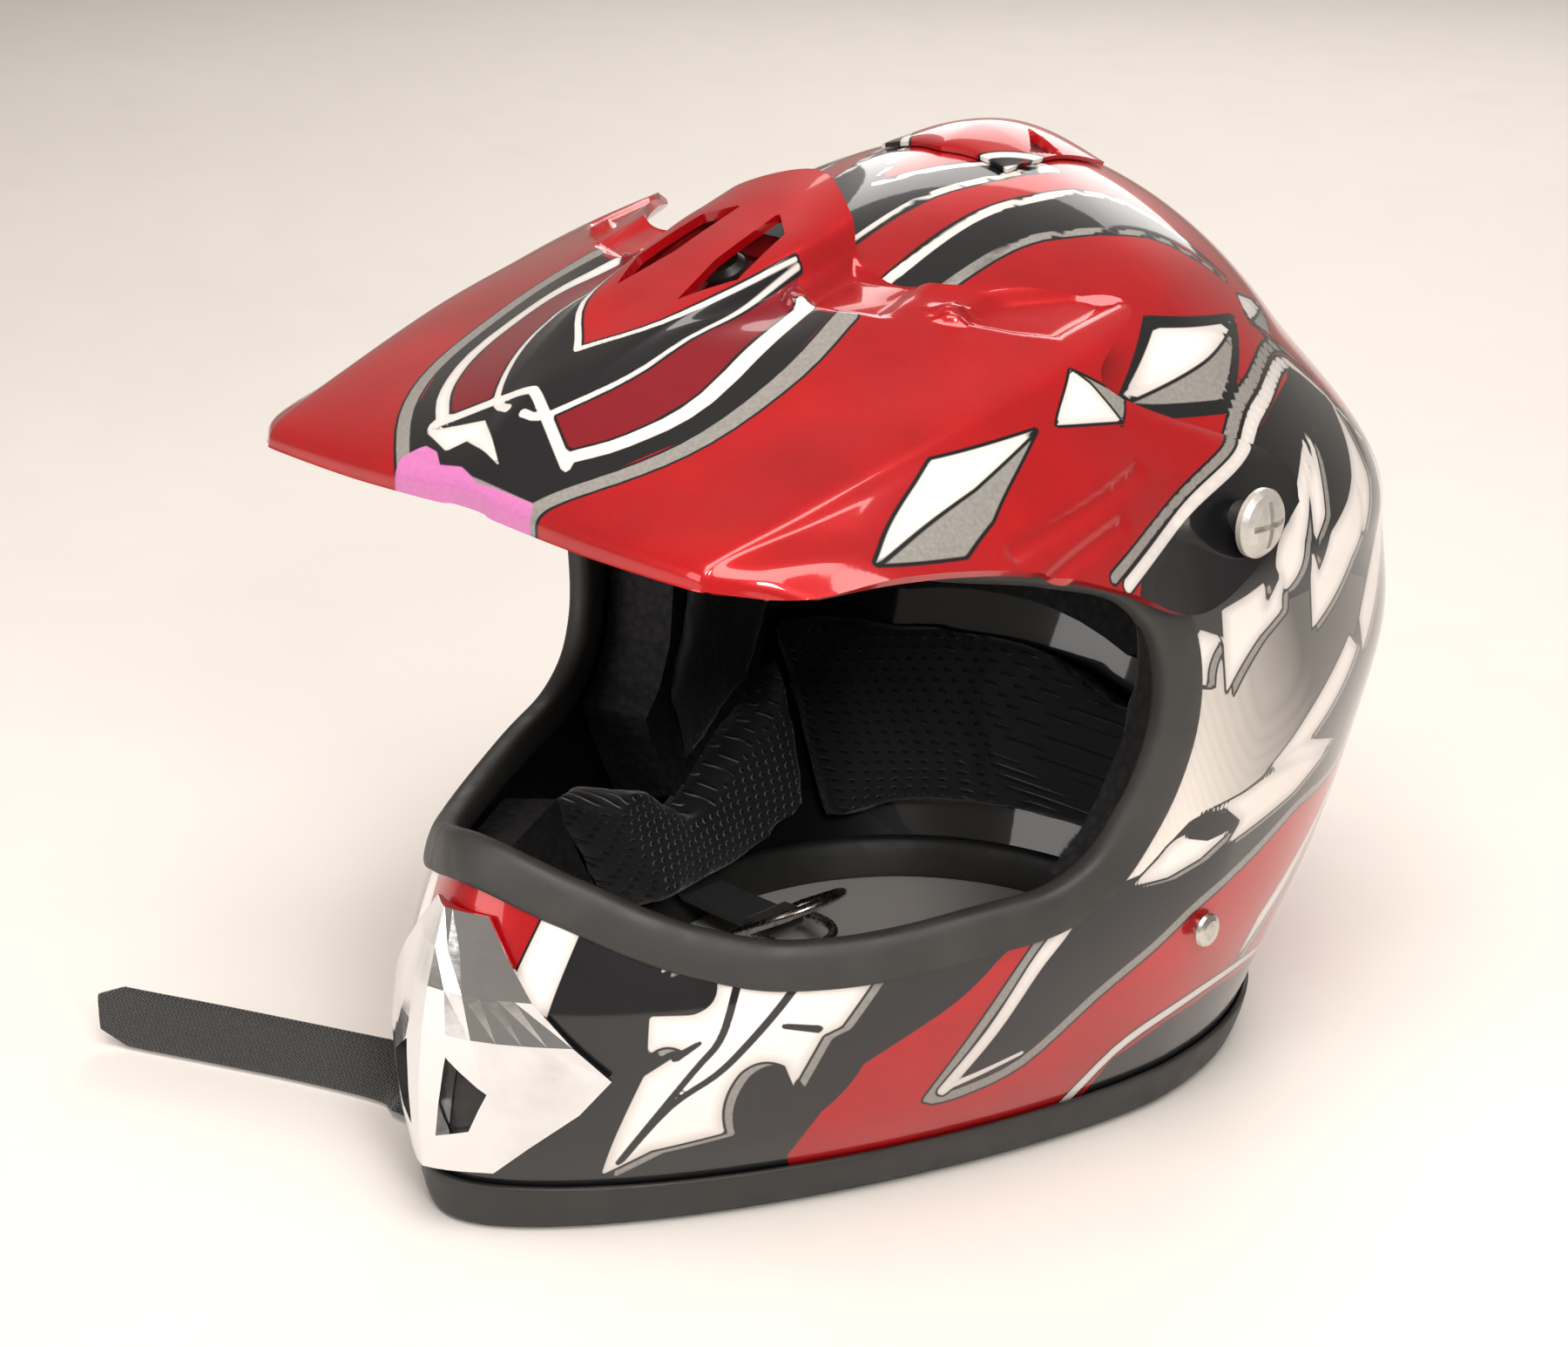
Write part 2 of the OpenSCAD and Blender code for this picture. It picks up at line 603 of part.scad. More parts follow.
outerShell();  // outer_shell
epsLiner();  // eps_liner
chinBarEps();  // chin_bar_eps
comfortLiner();  // comfort_liner
cheekPadLeft();  // cheek_pad_left
cheekPadRight();  // cheek_pad_right
neckRoll();  // neck_roll
eyeportTrim();  // eyeport_trim
bottomTrim();  // bottom_trim
peak();
peakBushingLeft();  // peak_bushing_left
peakBushingRight();  // peak_bushing_right
peakScrewLeft();  // peak_screw_left
peakScrewRight();  // peak_screw_right
peakScrewCenter();  // peak_screw_center
tnutLeft();  // tnut_left
tnutRight();  // tnut_right
tnutCenter();  // tnut_center
noseVent();  // nose_vent
noseVentMesh();  // nose_vent_mesh
crownVent();  // crown_vent
strapLong();  // strap_long
strapShort();  // strap_short
dRingOuter();  // d_ring_outer
dRingInner();  // d_ring_inner
anchorLeft();  // anchor_left
anchorRight();  // anchor_right
rivetLeft();  // rivet_left
rivetRight();  // rivet_right
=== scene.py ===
import bpy
import math
import numpy as np
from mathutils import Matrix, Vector


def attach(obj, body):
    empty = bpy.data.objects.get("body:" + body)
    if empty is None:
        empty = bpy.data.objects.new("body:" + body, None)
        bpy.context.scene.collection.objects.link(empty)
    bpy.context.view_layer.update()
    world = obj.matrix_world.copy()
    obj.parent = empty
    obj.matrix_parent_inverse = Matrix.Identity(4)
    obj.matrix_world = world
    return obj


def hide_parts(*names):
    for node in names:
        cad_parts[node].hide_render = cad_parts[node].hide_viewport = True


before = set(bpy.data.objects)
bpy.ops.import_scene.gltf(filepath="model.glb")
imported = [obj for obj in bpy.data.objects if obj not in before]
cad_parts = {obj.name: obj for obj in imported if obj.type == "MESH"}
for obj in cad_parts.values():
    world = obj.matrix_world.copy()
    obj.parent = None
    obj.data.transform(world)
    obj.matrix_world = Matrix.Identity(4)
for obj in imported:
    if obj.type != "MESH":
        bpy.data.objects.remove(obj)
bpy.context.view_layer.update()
mm = 0.001
print("frame loaded:", len(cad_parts), "parts")

# ---------- camera, lights and floor ----------
view = {
    "azimuth": 44.32, "elevation": 21.12, "distance": 1.3,
    "target": (-0.22425, 0.18063, -0.0005), "lens": 76.16, "sensor": 36.0,
}


def placeCamera():
    # the camera stands off its target by the distance, along the two angles
    a, e = math.radians(view["azimuth"]), math.radians(view["elevation"])
    back = Vector((math.sin(a) * math.cos(e), -math.cos(a) * math.cos(e), math.sin(e)))
    data = bpy.data.cameras.new("camera")
    data.lens = view["lens"]
    data.sensor_width = view["sensor"]
    data.sensor_fit = "HORIZONTAL"
    data.clip_end = 30
    camera = bpy.data.objects.new("camera", data)
    camera.location = Vector(view["target"]) + back * view["distance"]
    camera.rotation_euler = (-back).to_track_quat("-Z", "Y").to_euler()
    bpy.context.scene.collection.objects.link(camera)
    bpy.context.scene.camera = camera


lights = {
    # name: place, aimed at, size, watts, colour
    "topBox": ((0.5, -0.5, 1.7), (0, 0, 0.1), 1.3, 36, (1.0, 0.95, 0.90)),
    "keyWindow": ((1.15, -0.75, 0.95), (0, 0, 0.18), 0.30, 9, (1.0, 0.98, 0.95)),
    "frontFill": ((-0.4, -1.8, 0.7), (0, 0, 0.12), 1.0, 10, (1.0, 0.98, 0.96)),
    "backFill": ((-0.9, 1.4, 1.1), (0, 0, 0.15), 1.2, 12, (1.0, 0.97, 0.94)),
}


def placeLights():
    for name, (place, aim, size, watts, colour) in lights.items():
        data = bpy.data.lights.new(name, "AREA")
        data.size = size
        data.energy = watts
        data.color = colour
        lamp = bpy.data.objects.new(name, data)
        lamp.location = place
        lamp.rotation_euler = (Vector(aim) - Vector(place)).to_track_quat("-Z", "Y").to_euler()
        bpy.context.scene.collection.objects.link(lamp)
    world = bpy.data.worlds.new("studio")
    world.use_nodes = True
    world.node_tree.nodes["Background"].inputs["Color"].default_value = (0.92, 0.84, 0.76, 1)
    world.node_tree.nodes["Background"].inputs["Strength"].default_value = 0.34
    bpy.context.scene.world = world


placeCamera()
placeLights()
bpy.context.scene.view_settings.view_transform = "Standard"


# ---------- finishes ----------
class Finish:
    # a material whose nodes are added by short calls
    def __init__(self, name):
        self.material = bpy.data.materials.new(name)
        self.material.use_nodes = True
        self.tree = self.material.node_tree
        self.shader = self.tree.nodes["Principled BSDF"]

    def put(self, target, socket, value):
        if isinstance(value, bpy.types.NodeSocket):
            self.tree.links.new(value, target.inputs[socket])
        else:
            target.inputs[socket].default_value = value

    def set(self, **values):
        names = {"coat": "Coat Weight", "coatRoughness": "Coat Roughness", "baseColor": "Base Color",
                 "sheen": "Sheen Weight", "sheenRoughness": "Sheen Roughness", "ior": "IOR",
                 "specular": "Specular IOR Level", "anisotropic": "Anisotropic"}
        for key, value in values.items():
            self.put(self.shader, names.get(key, key.capitalize()), value)

    def node(self, kind, **settings):
        made = self.tree.nodes.new(kind)
        for key, value in settings.items():
            setattr(made, key, value)
        return made

    def place(self):
        return self.node("ShaderNodeTexCoord").outputs["Object"]

    def stretched(self, scale, turn=(0, 0, 0)):
        mapping = self.node("ShaderNodeMapping")
        self.put(mapping, "Vector", self.place())
        mapping.inputs["Scale"].default_value = scale
        mapping.inputs["Rotation"].default_value = turn
        return mapping.outputs["Vector"]

    def attribute(self, name):
        return self.node("ShaderNodeAttribute", attribute_name=name).outputs["Fac"]

    def maths(self, operation, a, b=0.0, c=0.0, clamp=False):
        made = self.node("ShaderNodeMath", operation=operation, use_clamp=clamp)
        for k, value in enumerate((a, b, c)):
            if isinstance(value, bpy.types.NodeSocket):
                self.tree.links.new(value, made.inputs[k])
            else:
                made.inputs[k].default_value = value
        return made.outputs[0]

    def noise(self, vector, scale, detail=3.0, roughness=0.55):
        made = self.node("ShaderNodeTexNoise")
        self.put(made, "Vector", vector)
        self.put(made, "Scale", scale)
        self.put(made, "Detail", detail)
        self.put(made, "Roughness", roughness)
        return made.outputs["Fac"]

    def cells(self, vector, scale, feature="F1", spread=1.0):
        made = self.node("ShaderNodeTexVoronoi", feature=feature)
        self.put(made, "Vector", vector)
        self.put(made, "Scale", scale)
        self.put(made, "Randomness", spread)
        return made.outputs["Distance"]

    def remap(self, value, a, b, c=0.0, d=1.0):
        made = self.node("ShaderNodeMapRange")
        for name, number in zip(("Value", "From Min", "From Max", "To Min", "To Max"), (value, a, b, c, d)):
            self.put(made, name, number)
        return made.outputs["Result"]

    def mix(self, factor, a, b):
        made = self.node("ShaderNodeMix", data_type="RGBA")
        for k, value in ((0, factor), (6, a), (7, b)):
            if isinstance(value, bpy.types.NodeSocket):
                self.tree.links.new(value, made.inputs[k])
            else:
                made.inputs[k].default_value = value
        return made.outputs[2]

    def bump(self, height, distance, strength=1.0, below=None, socket="Normal"):
        made = self.node("ShaderNodeBump")
        self.put(made, "Height", height)
        self.put(made, "Distance", distance)
        self.put(made, "Strength", strength)
        if below is not None:
            self.put(made, "Normal", below)
        self.put(self.shader, socket, made.outputs["Normal"])
        return made.outputs["Normal"]


def tone(r, g=None, b=None):
    return (r, r if g is None else g, r if b is None else b, 1)


paint = {
    "red": tone(0.46, 0.003, 0.006), "redDeep": tone(0.33, 0.002, 0.005), "maroon": tone(0.22, 0.004, 0.012),
    "black": tone(0.006, 0.006, 0.0075), "white": tone(0.86, 0.80, 0.77), "grey": tone(0.21, 0.20, 0.185),
    "panelWhite": tone(0.80, 0.74, 0.69), "panelGrey": tone(0.075, 0.07, 0.065),
        "reflectionPink": tone(0.60, 0.19, 0.44),
    "edgeSoftness": 0.28, "outlineWidth": 0.75,
}


def paintFinish(name):
    # printed graphics under a clear coat, with painted light and shade mixed in: a white highlight streak and
    # a pink reflection glow on the peak's front, and black in the fairing's vent slots. Each ink shows where
    # its distance field is below zero
    f = Finish(name)
    place = f.place()
    flakes = f.cells(place, 2400)
    clouds = f.noise(place, 22, 4)
    red = f.mix(f.remap(clouds, 0.35, 0.7), paint["red"], paint["redDeep"])
    red = f.mix(f.remap(flakes, 0.0, 0.45, 0.16, 0.0), red, tone(0.9, 0.05, 0.04))

    def inked(field, below, ink, reach=0.0):
        soft = paint["edgeSoftness"]
        mask = f.maths("MULTIPLY_ADD", f.attribute(field), -1 / soft, 0.5 + reach / soft, clamp=True)
        return f.mix(mask, below, ink), mask

    grain = f.noise(place, 900, 2)
    screen = f.cells(f.stretched((1, 1, 1)), 1350, spread=0.0)
    colour, _ = inked("inkMaroon", red, paint["maroon"])
    colour, dark = inked("inkBlack", colour, paint["black"])
    toned = f.maths("MULTIPLY_ADD", screen, 0.22, f.attribute("panelTone"))
    panel = f.mix(f.remap(toned, 0.08, 1.05), paint["panelWhite"], paint["panelGrey"])
    colour, pale = inked("inkPanel", colour, panel)
    colour, _ = inked("inkGrey", colour, paint["black"], paint["outlineWidth"])
    greyTone = f.mix(f.remap(grain, 0.3, 0.7), paint["grey"], tone(0.27, 0.255, 0.235))
    colour, grey = inked("inkGrey", colour, greyTone)
    colour, _ = inked("inkWhiteAndReflection", colour, paint["black"], paint["outlineWidth"])
    shaded = f.mix(f.remap(f.attribute("inkWhiteAndReflection"), -0.4, -3.2), tone(0.62, 0.585, 0.56), paint["white"])
    # the white ink's mask also covers the peak's painted highlight streak
    colour, white = inked("inkWhiteAndReflection", colour, shaded)
    # black for the printed dark shapes, and painted shade in the crown fairing's vent slots
    colour, _ = inked("inkDarkAndSlotShade", colour, paint["black"])
    # pink where the painted reflection glow lies on the peak's front lip
    colour, reflectionGlow = inked("inkReflectionGlow", colour, f.mix(grain, paint["reflectionPink"], tone(0.5, 0.13, 0.35)))
    f.set(baseColor=colour)
    inks = f.maths("MAXIMUM", f.maths("MAXIMUM", dark, pale), f.maths("MAXIMUM", grey, white), clamp=True)
    f.set(Metallic=f.maths("MULTIPLY_ADD", inks, -0.3, 0.3, clamp=True))
    haze = f.remap(f.noise(place, 60, 5), 0.3, 0.75, 0.0, 0.05)
    f.set(Roughness=f.maths("ADD", haze, f.maths("MULTIPLY_ADD", reflectionGlow, 0.3, 0.30)))
    f.set(coat=1.0, coatRoughness=0.045, ior=1.5, specular=0.22)
    f.bump(f.noise(place, 160, 3), 0.00004, 0.35)
    orange = f.node("ShaderNodeBump")
    f.put(orange, "Height", f.noise(place, 240, 2))
    f.put(orange, "Distance", 0.00003)
    f.put(orange, "Strength", 0.3)
    f.put(f.shader, "Coat Normal", orange.outputs["Normal"])
    return f.material


def rubberFinish(name, colour, roughness=0.5):
    # satin rubber: fine grain, faint mould waves and paler rubbed spots
    f = Finish(name)
    place = f.place()
    worn = f.remap(f.noise(place, 30, 6), 0.5, 0.8)
    f.set(baseColor=f.mix(worn, colour, tuple(min(1, c * 1.7) for c in colour[:3]) + (1,)))
    f.set(Roughness=f.remap(f.noise(place, 120, 4), 0.3, 0.7, roughness - 0.07, roughness + 0.1))
    f.set(specular=0.45)
    f.bump(f.noise(place, 1500, 3), 0.00008, 0.35)
    return f.material


def chromeFinish():
    # bright plating that dulls in soft clouds, with fine wipe marks
    f = Finish("ventChrome")
    place = f.place()
    dull = f.remap(f.noise(place, 45, 5), 0.45, 0.75)
    f.set(baseColor=f.mix(dull, tone(0.80, 0.80, 0.81), tone(0.66, 0.66, 0.67)), Metallic=1.0)
    wipe = f.noise(f.stretched((300, 60, 900)), 1.0, 2)
    f.set(Roughness=f.maths("ADD", f.remap(dull, 0, 1, 0.06, 0.17), f.remap(wipe, 0.4, 0.8, 0.0, 0.05)))
    f.bump(f.noise(place, 90, 3), 0.00012, 0.25)
    return f.material


def steelFinish(name, colour, roughness):
    # plated steel: turned or brushed marks and small dull spots
    f = Finish(name)
    place = f.place()
    spots = f.remap(f.noise(place, 260, 5), 0.55, 0.75)
    f.set(baseColor=f.mix(spots, colour, tuple(c * 0.55 for c in colour[:3]) + (1,)), Metallic=1.0)
    marks = f.noise(f.stretched((1800, 200, 200)), 1.0, 2)
    f.set(Roughness=f.remap(marks, 0.3, 0.7, roughness - 0.05, roughness + 0.12))
    f.bump(marks, 0.00002, 0.3)
    return f.material


def mouldedFinish(name, colour, roughness, metallic=0.0, ripple=0.00025):
    # moulded plastic: flow clouds, a soft ripple and a light scuffing
    f = Finish(name)
    place = f.place()
    clouds = f.remap(f.noise(place, 170, 4), 0.35, 0.7)
    f.set(baseColor=f.mix(clouds, colour, tuple(c * 0.72 for c in colour[:3]) + (1,)), Metallic=metallic)
    f.set(Roughness=f.remap(f.noise(place, 420, 4), 0.3, 0.7, roughness - 0.06, roughness + 0.12))
    f.bump(f.noise(place, 330, 2), ripple, 0.6)
    return f.material


def foamFinish():
    # bead foam: rounded cells a few millimetres across
    f = Finish("beadFoam")
    place = f.place()
    beads = f.cells(place, 300)
    # bead tops are lighter and the sunken gaps between them darker: painted shade
    f.set(baseColor=f.mix(f.remap(beads, 0.1, 0.7), tone(0.018, 0.018, 0.019), tone(0.006, 0.006, 0.0065)))
    f.set(Roughness=f.remap(f.noise(place, 500), 0.3, 0.7, 0.7, 0.85))
    f.bump(f.maths("MULTIPLY", beads, -1.0), 0.0006, 0.8)
    return f.material


def knitFinish(name, holes):
    # spacer knit: rows of small holes on a staggered lattice, with a fine yarn between them
    f = Finish(name)
    axes = f.node("ShaderNodeSeparateXYZ")
    f.put(axes, "Vector", f.place())
    across = f.maths("MULTIPLY", axes.outputs["Y"], math.pi / 0.0036)
    upward = f.maths("MULTIPLY", axes.outputs["Z"], math.pi / 0.0031)
    pits = f.maths("MULTIPLY", f.maths("SINE", f.maths("ADD", across, upward)),
                   f.maths("SINE", f.maths("SUBTRACT", across, upward)))
    pit = f.remap(pits, 0.35, 0.8) if holes else f.remap(pits, 0.8, 1.6)
    yarn = f.noise(f.stretched((700, 2600, 2600)), 1.0, 3)
    cloth = f.mix(f.remap(yarn, 0.3, 0.7), tone(0.010, 0.010, 0.011), tone(0.026, 0.026, 0.029))
    # the holes and pits are painted near black: painted shade inside them
    f.set(baseColor=f.mix(pit, cloth, tone(0.0015)))
    f.set(Roughness=f.remap(yarn, 0.3, 0.7, 0.75, 0.92))
    f.set(sheen=0.35, sheenRoughness=0.4)
    lower = f.bump(f.maths("MULTIPLY", pit, -1.0), 0.0009, 0.9)
    f.bump(yarn, 0.0002, 0.5, below=lower)
    return f.material


def webbingFinish():
    # woven band: slanted yarns across the width, from the band's own length and width attributes
    f = Finish("wovenBand")
    along = f.attribute("bandAlong")
    wide = f.attribute("bandWide")
    ribs = f.maths("SINE", f.maths("ADD", f.maths("MULTIPLY", along, 2 * math.pi / 1.5),
                                   f.maths("PINGPONG", f.maths("MULTIPLY", wide, 1.9), 1.6)))
    rows = f.maths("SINE", f.maths("MULTIPLY", wide, 2 * math.pi / 1.25))
    weave = f.maths("MULTIPLY", ribs, rows)
    fuzz = f.noise(f.place(), 1300, 4)
    # raised yarns painted lighter and the grooves between them darker: painted light and shade of the weave
    f.set(baseColor=f.mix(f.remap(weave, -1, 1), tone(0.006, 0.006, 0.0065), tone(0.020, 0.020, 0.021)))
    f.set(Roughness=f.remap(fuzz, 0.3, 0.7, 0.72, 0.9), sheen=0.25, sheenRoughness=0.5)
    lower = f.bump(weave, 0.00035, 0.8)
    f.bump(fuzz, 0.0002, 0.4, below=lower)
    return f.material


def floorFinish():
    # pale painted board with a faint dusty unevenness
    f = Finish("paleFloor")
    place = f.place()
    f.set(baseColor=f.mix(f.noise(place, 3, 5), tone(0.74, 0.70, 0.665), tone(0.80, 0.765, 0.73)))
    f.set(Roughness=f.remap(f.noise(place, 25, 5), 0.3, 0.7, 0.5, 0.62))
    f.bump(f.noise(place, 120, 5), 0.0003, 0.15)
    return f.material


# ---------- mesh building ----------
def gridFaces(rows, columns, closedRows=False, closedColumns=False):
    # quads between neighbouring points of a rows by columns grid
    i, j = np.meshgrid(np.arange(rows - (not closedRows)), np.arange(columns - (not closedColumns)),
        indexing="ij")
    k, l = (i + 1) % rows, (j + 1) % columns
    return np.stack([i * columns + j, k * columns + j, k * columns + l, i * columns + l], -1).reshape(-1, 4)


def volumeOf(points, quads):
    # a sixth of the summed triple products of the faces' triangles
    a, b, c, d = (points[quads[:, k]] for k in range(4))
    return (np.einsum("ij,ij->i", a, np.cross(b, c)).sum() + np.einsum("ij,ij->i", a,
        np.cross(c, d)).sum()) / 6


def pieceFrom(name, points, quads, finish, sharp=38.0, **fields):
    # points in millimetres become an object in metres, its closed surface turned outwards
    points = np.asarray(points, float).reshape(-1, 3)
    if volumeOf(points, quads) < 0:
        quads = quads[:, ::-1]
    mesh = bpy.data.meshes.new(name)
    mesh.vertices.add(len(points))
    mesh.vertices.foreach_set("co", (points * mm).ravel())
    mesh.loops.add(quads.size)
    mesh.loops.foreach_set("vertex_index", np.ascontiguousarray(quads).ravel().astype(np.int32))
    mesh.polygons.add(len(quads))
    mesh.polygons.foreach_set("loop_start", np.arange(len(quads), dtype=np.int32) * 4)
    mesh.update(calc_edges=True)
    mesh.validate()
    mesh.polygons.foreach_set("use_smooth", np.ones(len(mesh.polygons), bool))
    mesh.set_sharp_from_angle(angle=math.radians(sharp))
    for key, values in fields.items():
        layer = mesh.attributes.new(key, "FLOAT", "POINT")
        layer.data.foreach_set("value", np.ascontiguousarray(values, np.float32).ravel())
    mesh.materials.append(finish)
    piece = bpy.data.objects.new(name, mesh)
    bpy.context.scene.collection.objects.link(piece)
    return piece


def closedRing(grid):
    # a grid that closes both ways, such as a profile carried round a rim
    return grid.reshape(-1, 3), gridFaces(grid.shape[0], grid.shape[1], True, True)


def openRun(grid):
    # sections along a path, with each end drawn together to its middle line
    first, last = grid[:1], grid[-1:]
    ends = [np.broadcast_to(s.mean(1, keepdims=True), s.shape) for s in (first, last)]
    whole = np.concatenate([ends[0], grid, ends[1]])
    return whole.reshape(-1, 3), gridFaces(whole.shape[0], whole.shape[1], False, True)


def pointNormals(points, quads):
    # each point's normal is the sum of its faces' diagonal products
    n = np.cross(points[quads[:, 2]] - points[quads[:, 0]], points[quads[:, 3]] - points[quads[:, 1]])
    total = np.zeros_like(points)
    for k in range(4):
        np.add.at(total, quads[:, k], n)
    return total / np.maximum(1e-12, np.linalg.norm(total, axis=1, keepdims=True))


def openEdge(quads):
    # the edges that only one face has
    edges = np.concatenate([quads[:, [k, (k + 1) % 4]] for k in range(4)])
    _, index, counts = np.unique(np.sort(edges, 1), axis=0, return_index=True, return_counts=True)
    return edges[index[counts == 1]]


def walled(points, quads, thickness):
    # a sheet gets a wall: its points are copied inward and every open edge is closed by a quad
    n = len(points)
    inner = points - pointNormals(points, quads) * np.broadcast_to(thickness, (n,))[:, None]
    rim = openEdge(quads)
    sides = np.stack([rim[:, 1], rim[:, 0], rim[:, 0] + n, rim[:, 1] + n], 1)
    return np.concatenate([points, inner]), np.concatenate([quads, quads[:, ::-1] + n, sides])


def unit(v):
    return v / np.maximum(1e-12, np.linalg.norm(v, axis=-1, keepdims=True))


def ease(t):
    # three squared less two cubed
    t = np.clip(t, 0, 1)
    return t * t * (3 - 2 * t)


def smoothLine(points, steps, closed=False):
    # a Catmull-Rom curve through the points, with equal steps between them
    p = np.asarray(points, float)
    n = len(p)
    spans = n if closed else n - 1
    i = np.repeat(np.arange(spans), steps)
    t = np.tile(np.arange(steps) / steps, spans)[:, None]
    if not closed:
        i, t = np.append(i, spans - 1), np.append(t, [[1.0]], 0)
    pick = (lambda k: p[(i + k) % n]) if closed else (lambda k: p[np.clip(i + k, 0, n - 1)])
    a, b, c, d = pick(-1), pick(0), pick(1), pick(2)
    return 0.5 * (2 * b + (c - a) * t + (2 * a - 5 * b + 4 * c - d) * t**2 + (3 * b - a - 3 * c + d) * t**3)


# ---------- printed shapes ----------
def outline(points):
    # corners joined by straight edges, or by a parabola as high as the third number
    corners = []
    for here, there in zip(points, points[1:] + points[:1]):
        a, b = np.array(here[:2], float), np.array(there[:2], float)
        bow = here[2] if len(here) > 2 else 0
        t = np.linspace(0, 1, 9 if bow else 2)[:-1, None]
        side = np.array([b[1] - a[1], a[0] - b[0]]) / max(1e-9, np.hypot(*(b - a)))
        corners.append(a + (b - a) * t + side * 4 * bow * t * (1 - t))
    return np.concatenate(corners)


def shapeField(x, y, points):
    # distance in millimetres to a shape's outline, below zero inside it
    corners = outline(points)
    distance = np.full(x.shape, 1e3)
    inside = np.zeros(x.shape, bool)
    for (ax, ay), (bx, by) in zip(corners, np.roll(corners, -1, 0)):
        ex, ey = bx - ax, by - ay
        t = np.clip(((x - ax) * ex + (y - ay) * ey) / max(1e-9, ex * ex + ey * ey), 0, 1)
        distance = np.minimum(distance, np.hypot(x - ax - t * ex, y - ay - t * ey))
        inside ^= ((ay > y) != (by > y)) & (x < ex * (y - ay) / (ey if ey else 1e-9) + ax)
    return np.where(inside, -distance, distance)


def lineField(x, y, points, startWidth, endWidth=None):
    # distance to a smooth line less half its width, which changes evenly along it
    path = smoothLine(points, 4)
    half = np.linspace(startWidth, startWidth if endWidth is None else endWidth, len(path)) / 2
    distance = np.full(x.shape, 1e3)
    for k in range(len(path) - 1):
        (ax, ay), (bx, by) = path[k], path[k + 1]
        ex, ey = bx - ax, by - ay
        t = np.clip(((x - ax) * ex + (y - ay) * ey) / max(1e-9, ex * ex + ey * ey), 0, 1)
        reach = np.hypot(x - ax - t * ex, y - ay - t * ey) - (half[k] + (half[k + 1] - half[k]) * t)
        distance = np.minimum(distance, reach)
    return distance


def joined(*fields):
    return np.minimum.reduce(fields)


# ---------- the shell's shape ----------
shell = {
    "top": 267, "wall": 3.6, "waist": 165, "waistRadius": 0.45, "crownPower": 1.7, "rearPower": 1.65,
    "crownPlan": 1.65, "rearPlan": 2.2, "crownShift": 20, "edge": 5,
    # height, half width, front, rear, front power, middle
    "levels": [[0, 96, 191, 97, 1.4, 5], [30, 106, 191, 107, 1.6, 5], [65, 116, 189, 125, 1.6, 7],
               [100, 122, 181, 139, 1.38, 9], [130, 126, 170, 143, 1.5, 12], [165, 126, 156, 137, 1.85, 11]],
    # eyeport rim: azimuth, height, and the azimuth of the point below or behind it on the bottom edge
    "rim": [[0, 104.5, 0], [8.5, 97.5, 9], [15, 90, 16], [21, 84.5, 22.5], [28, 80.5, 30], [37, 80, 39],
            [47, 82, 49], [59, 84.5, 60], [67, 92, 69], [72, 107, 77], [73.8, 127, 84], [73.7, 147, 91],
            [71.5, 164, 99], [66.5, 176, 108], [56, 183, 120], [42, 187, 138], [22, 190.5, 160],
             [0, 191, 180]],
    "around": 500, "down": 166, "innerDown": 8,
}
levelTable = np.array(shell["levels"], float)


def levelValue(column, z):
    # a cubic between the levels, with the slope at each taken from its neighbours
    h, v = levelTable[:, 0], levelTable[:, column]
    slopes = np.zeros(len(h))
    slopes[0] = (v[1] - v[0]) / (h[1] - h[0])
    slopes[1:-1] = (v[2:] - v[:-2]) / (h[2:] - h[:-2])
    i = np.clip(np.searchsorted(h, z, side="right") - 1, 0, len(h) - 2)
    d = h[i + 1] - h[i]
    t = (z - h[i]) / d
    return ((2 * t**3 - 3 * t**2 + 1) * v[i] + (t**3 - 2 * t**2 + t) * d * slopes[i]
            + (3 * t**2 - 2 * t**3) * v[i + 1] + (t**3 - t**2) * d * slopes[i + 1])


def shellPoint(disk):
    # the disk's middle is the crown and its rim the bottom edge: a rounded plan outline is scaled
    # by sine above the waist, and follows the levels below it
    x, y = disk[..., 0], disk[..., 1]
    r, a = np.maximum(1e-4, np.hypot(x, y)), np.arctan2(x, -y)
    w = shell["waistRadius"]
    g = np.where(r < w, np.sin(np.pi / 2 * np.minimum(1, r / w)), 1.0)
    u = np.where(g < 1, np.maximum(0, 1 - g**shell["crownPower"])**(1 / shell["crownPower"]), 0.0)
    gRear = np.where(u > 0, np.maximum(0, 1 - u**shell["rearPower"])**(1 / shell["rearPower"]), 1.0)
    zLow = np.where(r < w, shell["waist"], shell["waist"] * (1 - (r - w) / (1 - w)))
    z = np.where(r < w, shell["waist"] + (shell["top"] - shell["waist"]) * u, zLow)
    q = ease(2 * u)
    front = np.cos(a) > 0
    power = np.where(front, levelValue(4, zLow) * (1 - q) + shell["crownPlan"] * q,
                     shell["rearPlan"] + (shell["crownPlan"] - shell["rearPlan"]) * q)
    middle = levelValue(5, zLow) + shell["crownShift"] * u * u
    reach = np.where(front, levelValue(2, zLow) * g, levelValue(3, zLow) * gRear)
    side = np.sqrt(np.sin(a)**2 + 0.004) / np.maximum(1e-6, levelValue(1, zLow) * g)
    ahead = np.abs(np.cos(a)) / np.maximum(1e-6, reach)
    radius = (side**power + ahead**power)**(-1 / power)
    return np.stack([radius * np.sin(a), middle - radius * np.cos(a), z], -1)


def shellNormal(disk):
    # the cross product of the two differences across the disk
    step = 0.004
    dx, dy = np.array([step, 0]), np.array([0, step])
    return unit(np.cross(shellPoint(disk + dx) - shellPoint(disk - dx),
        shellPoint(disk + dy) - shellPoint(disk - dy)))


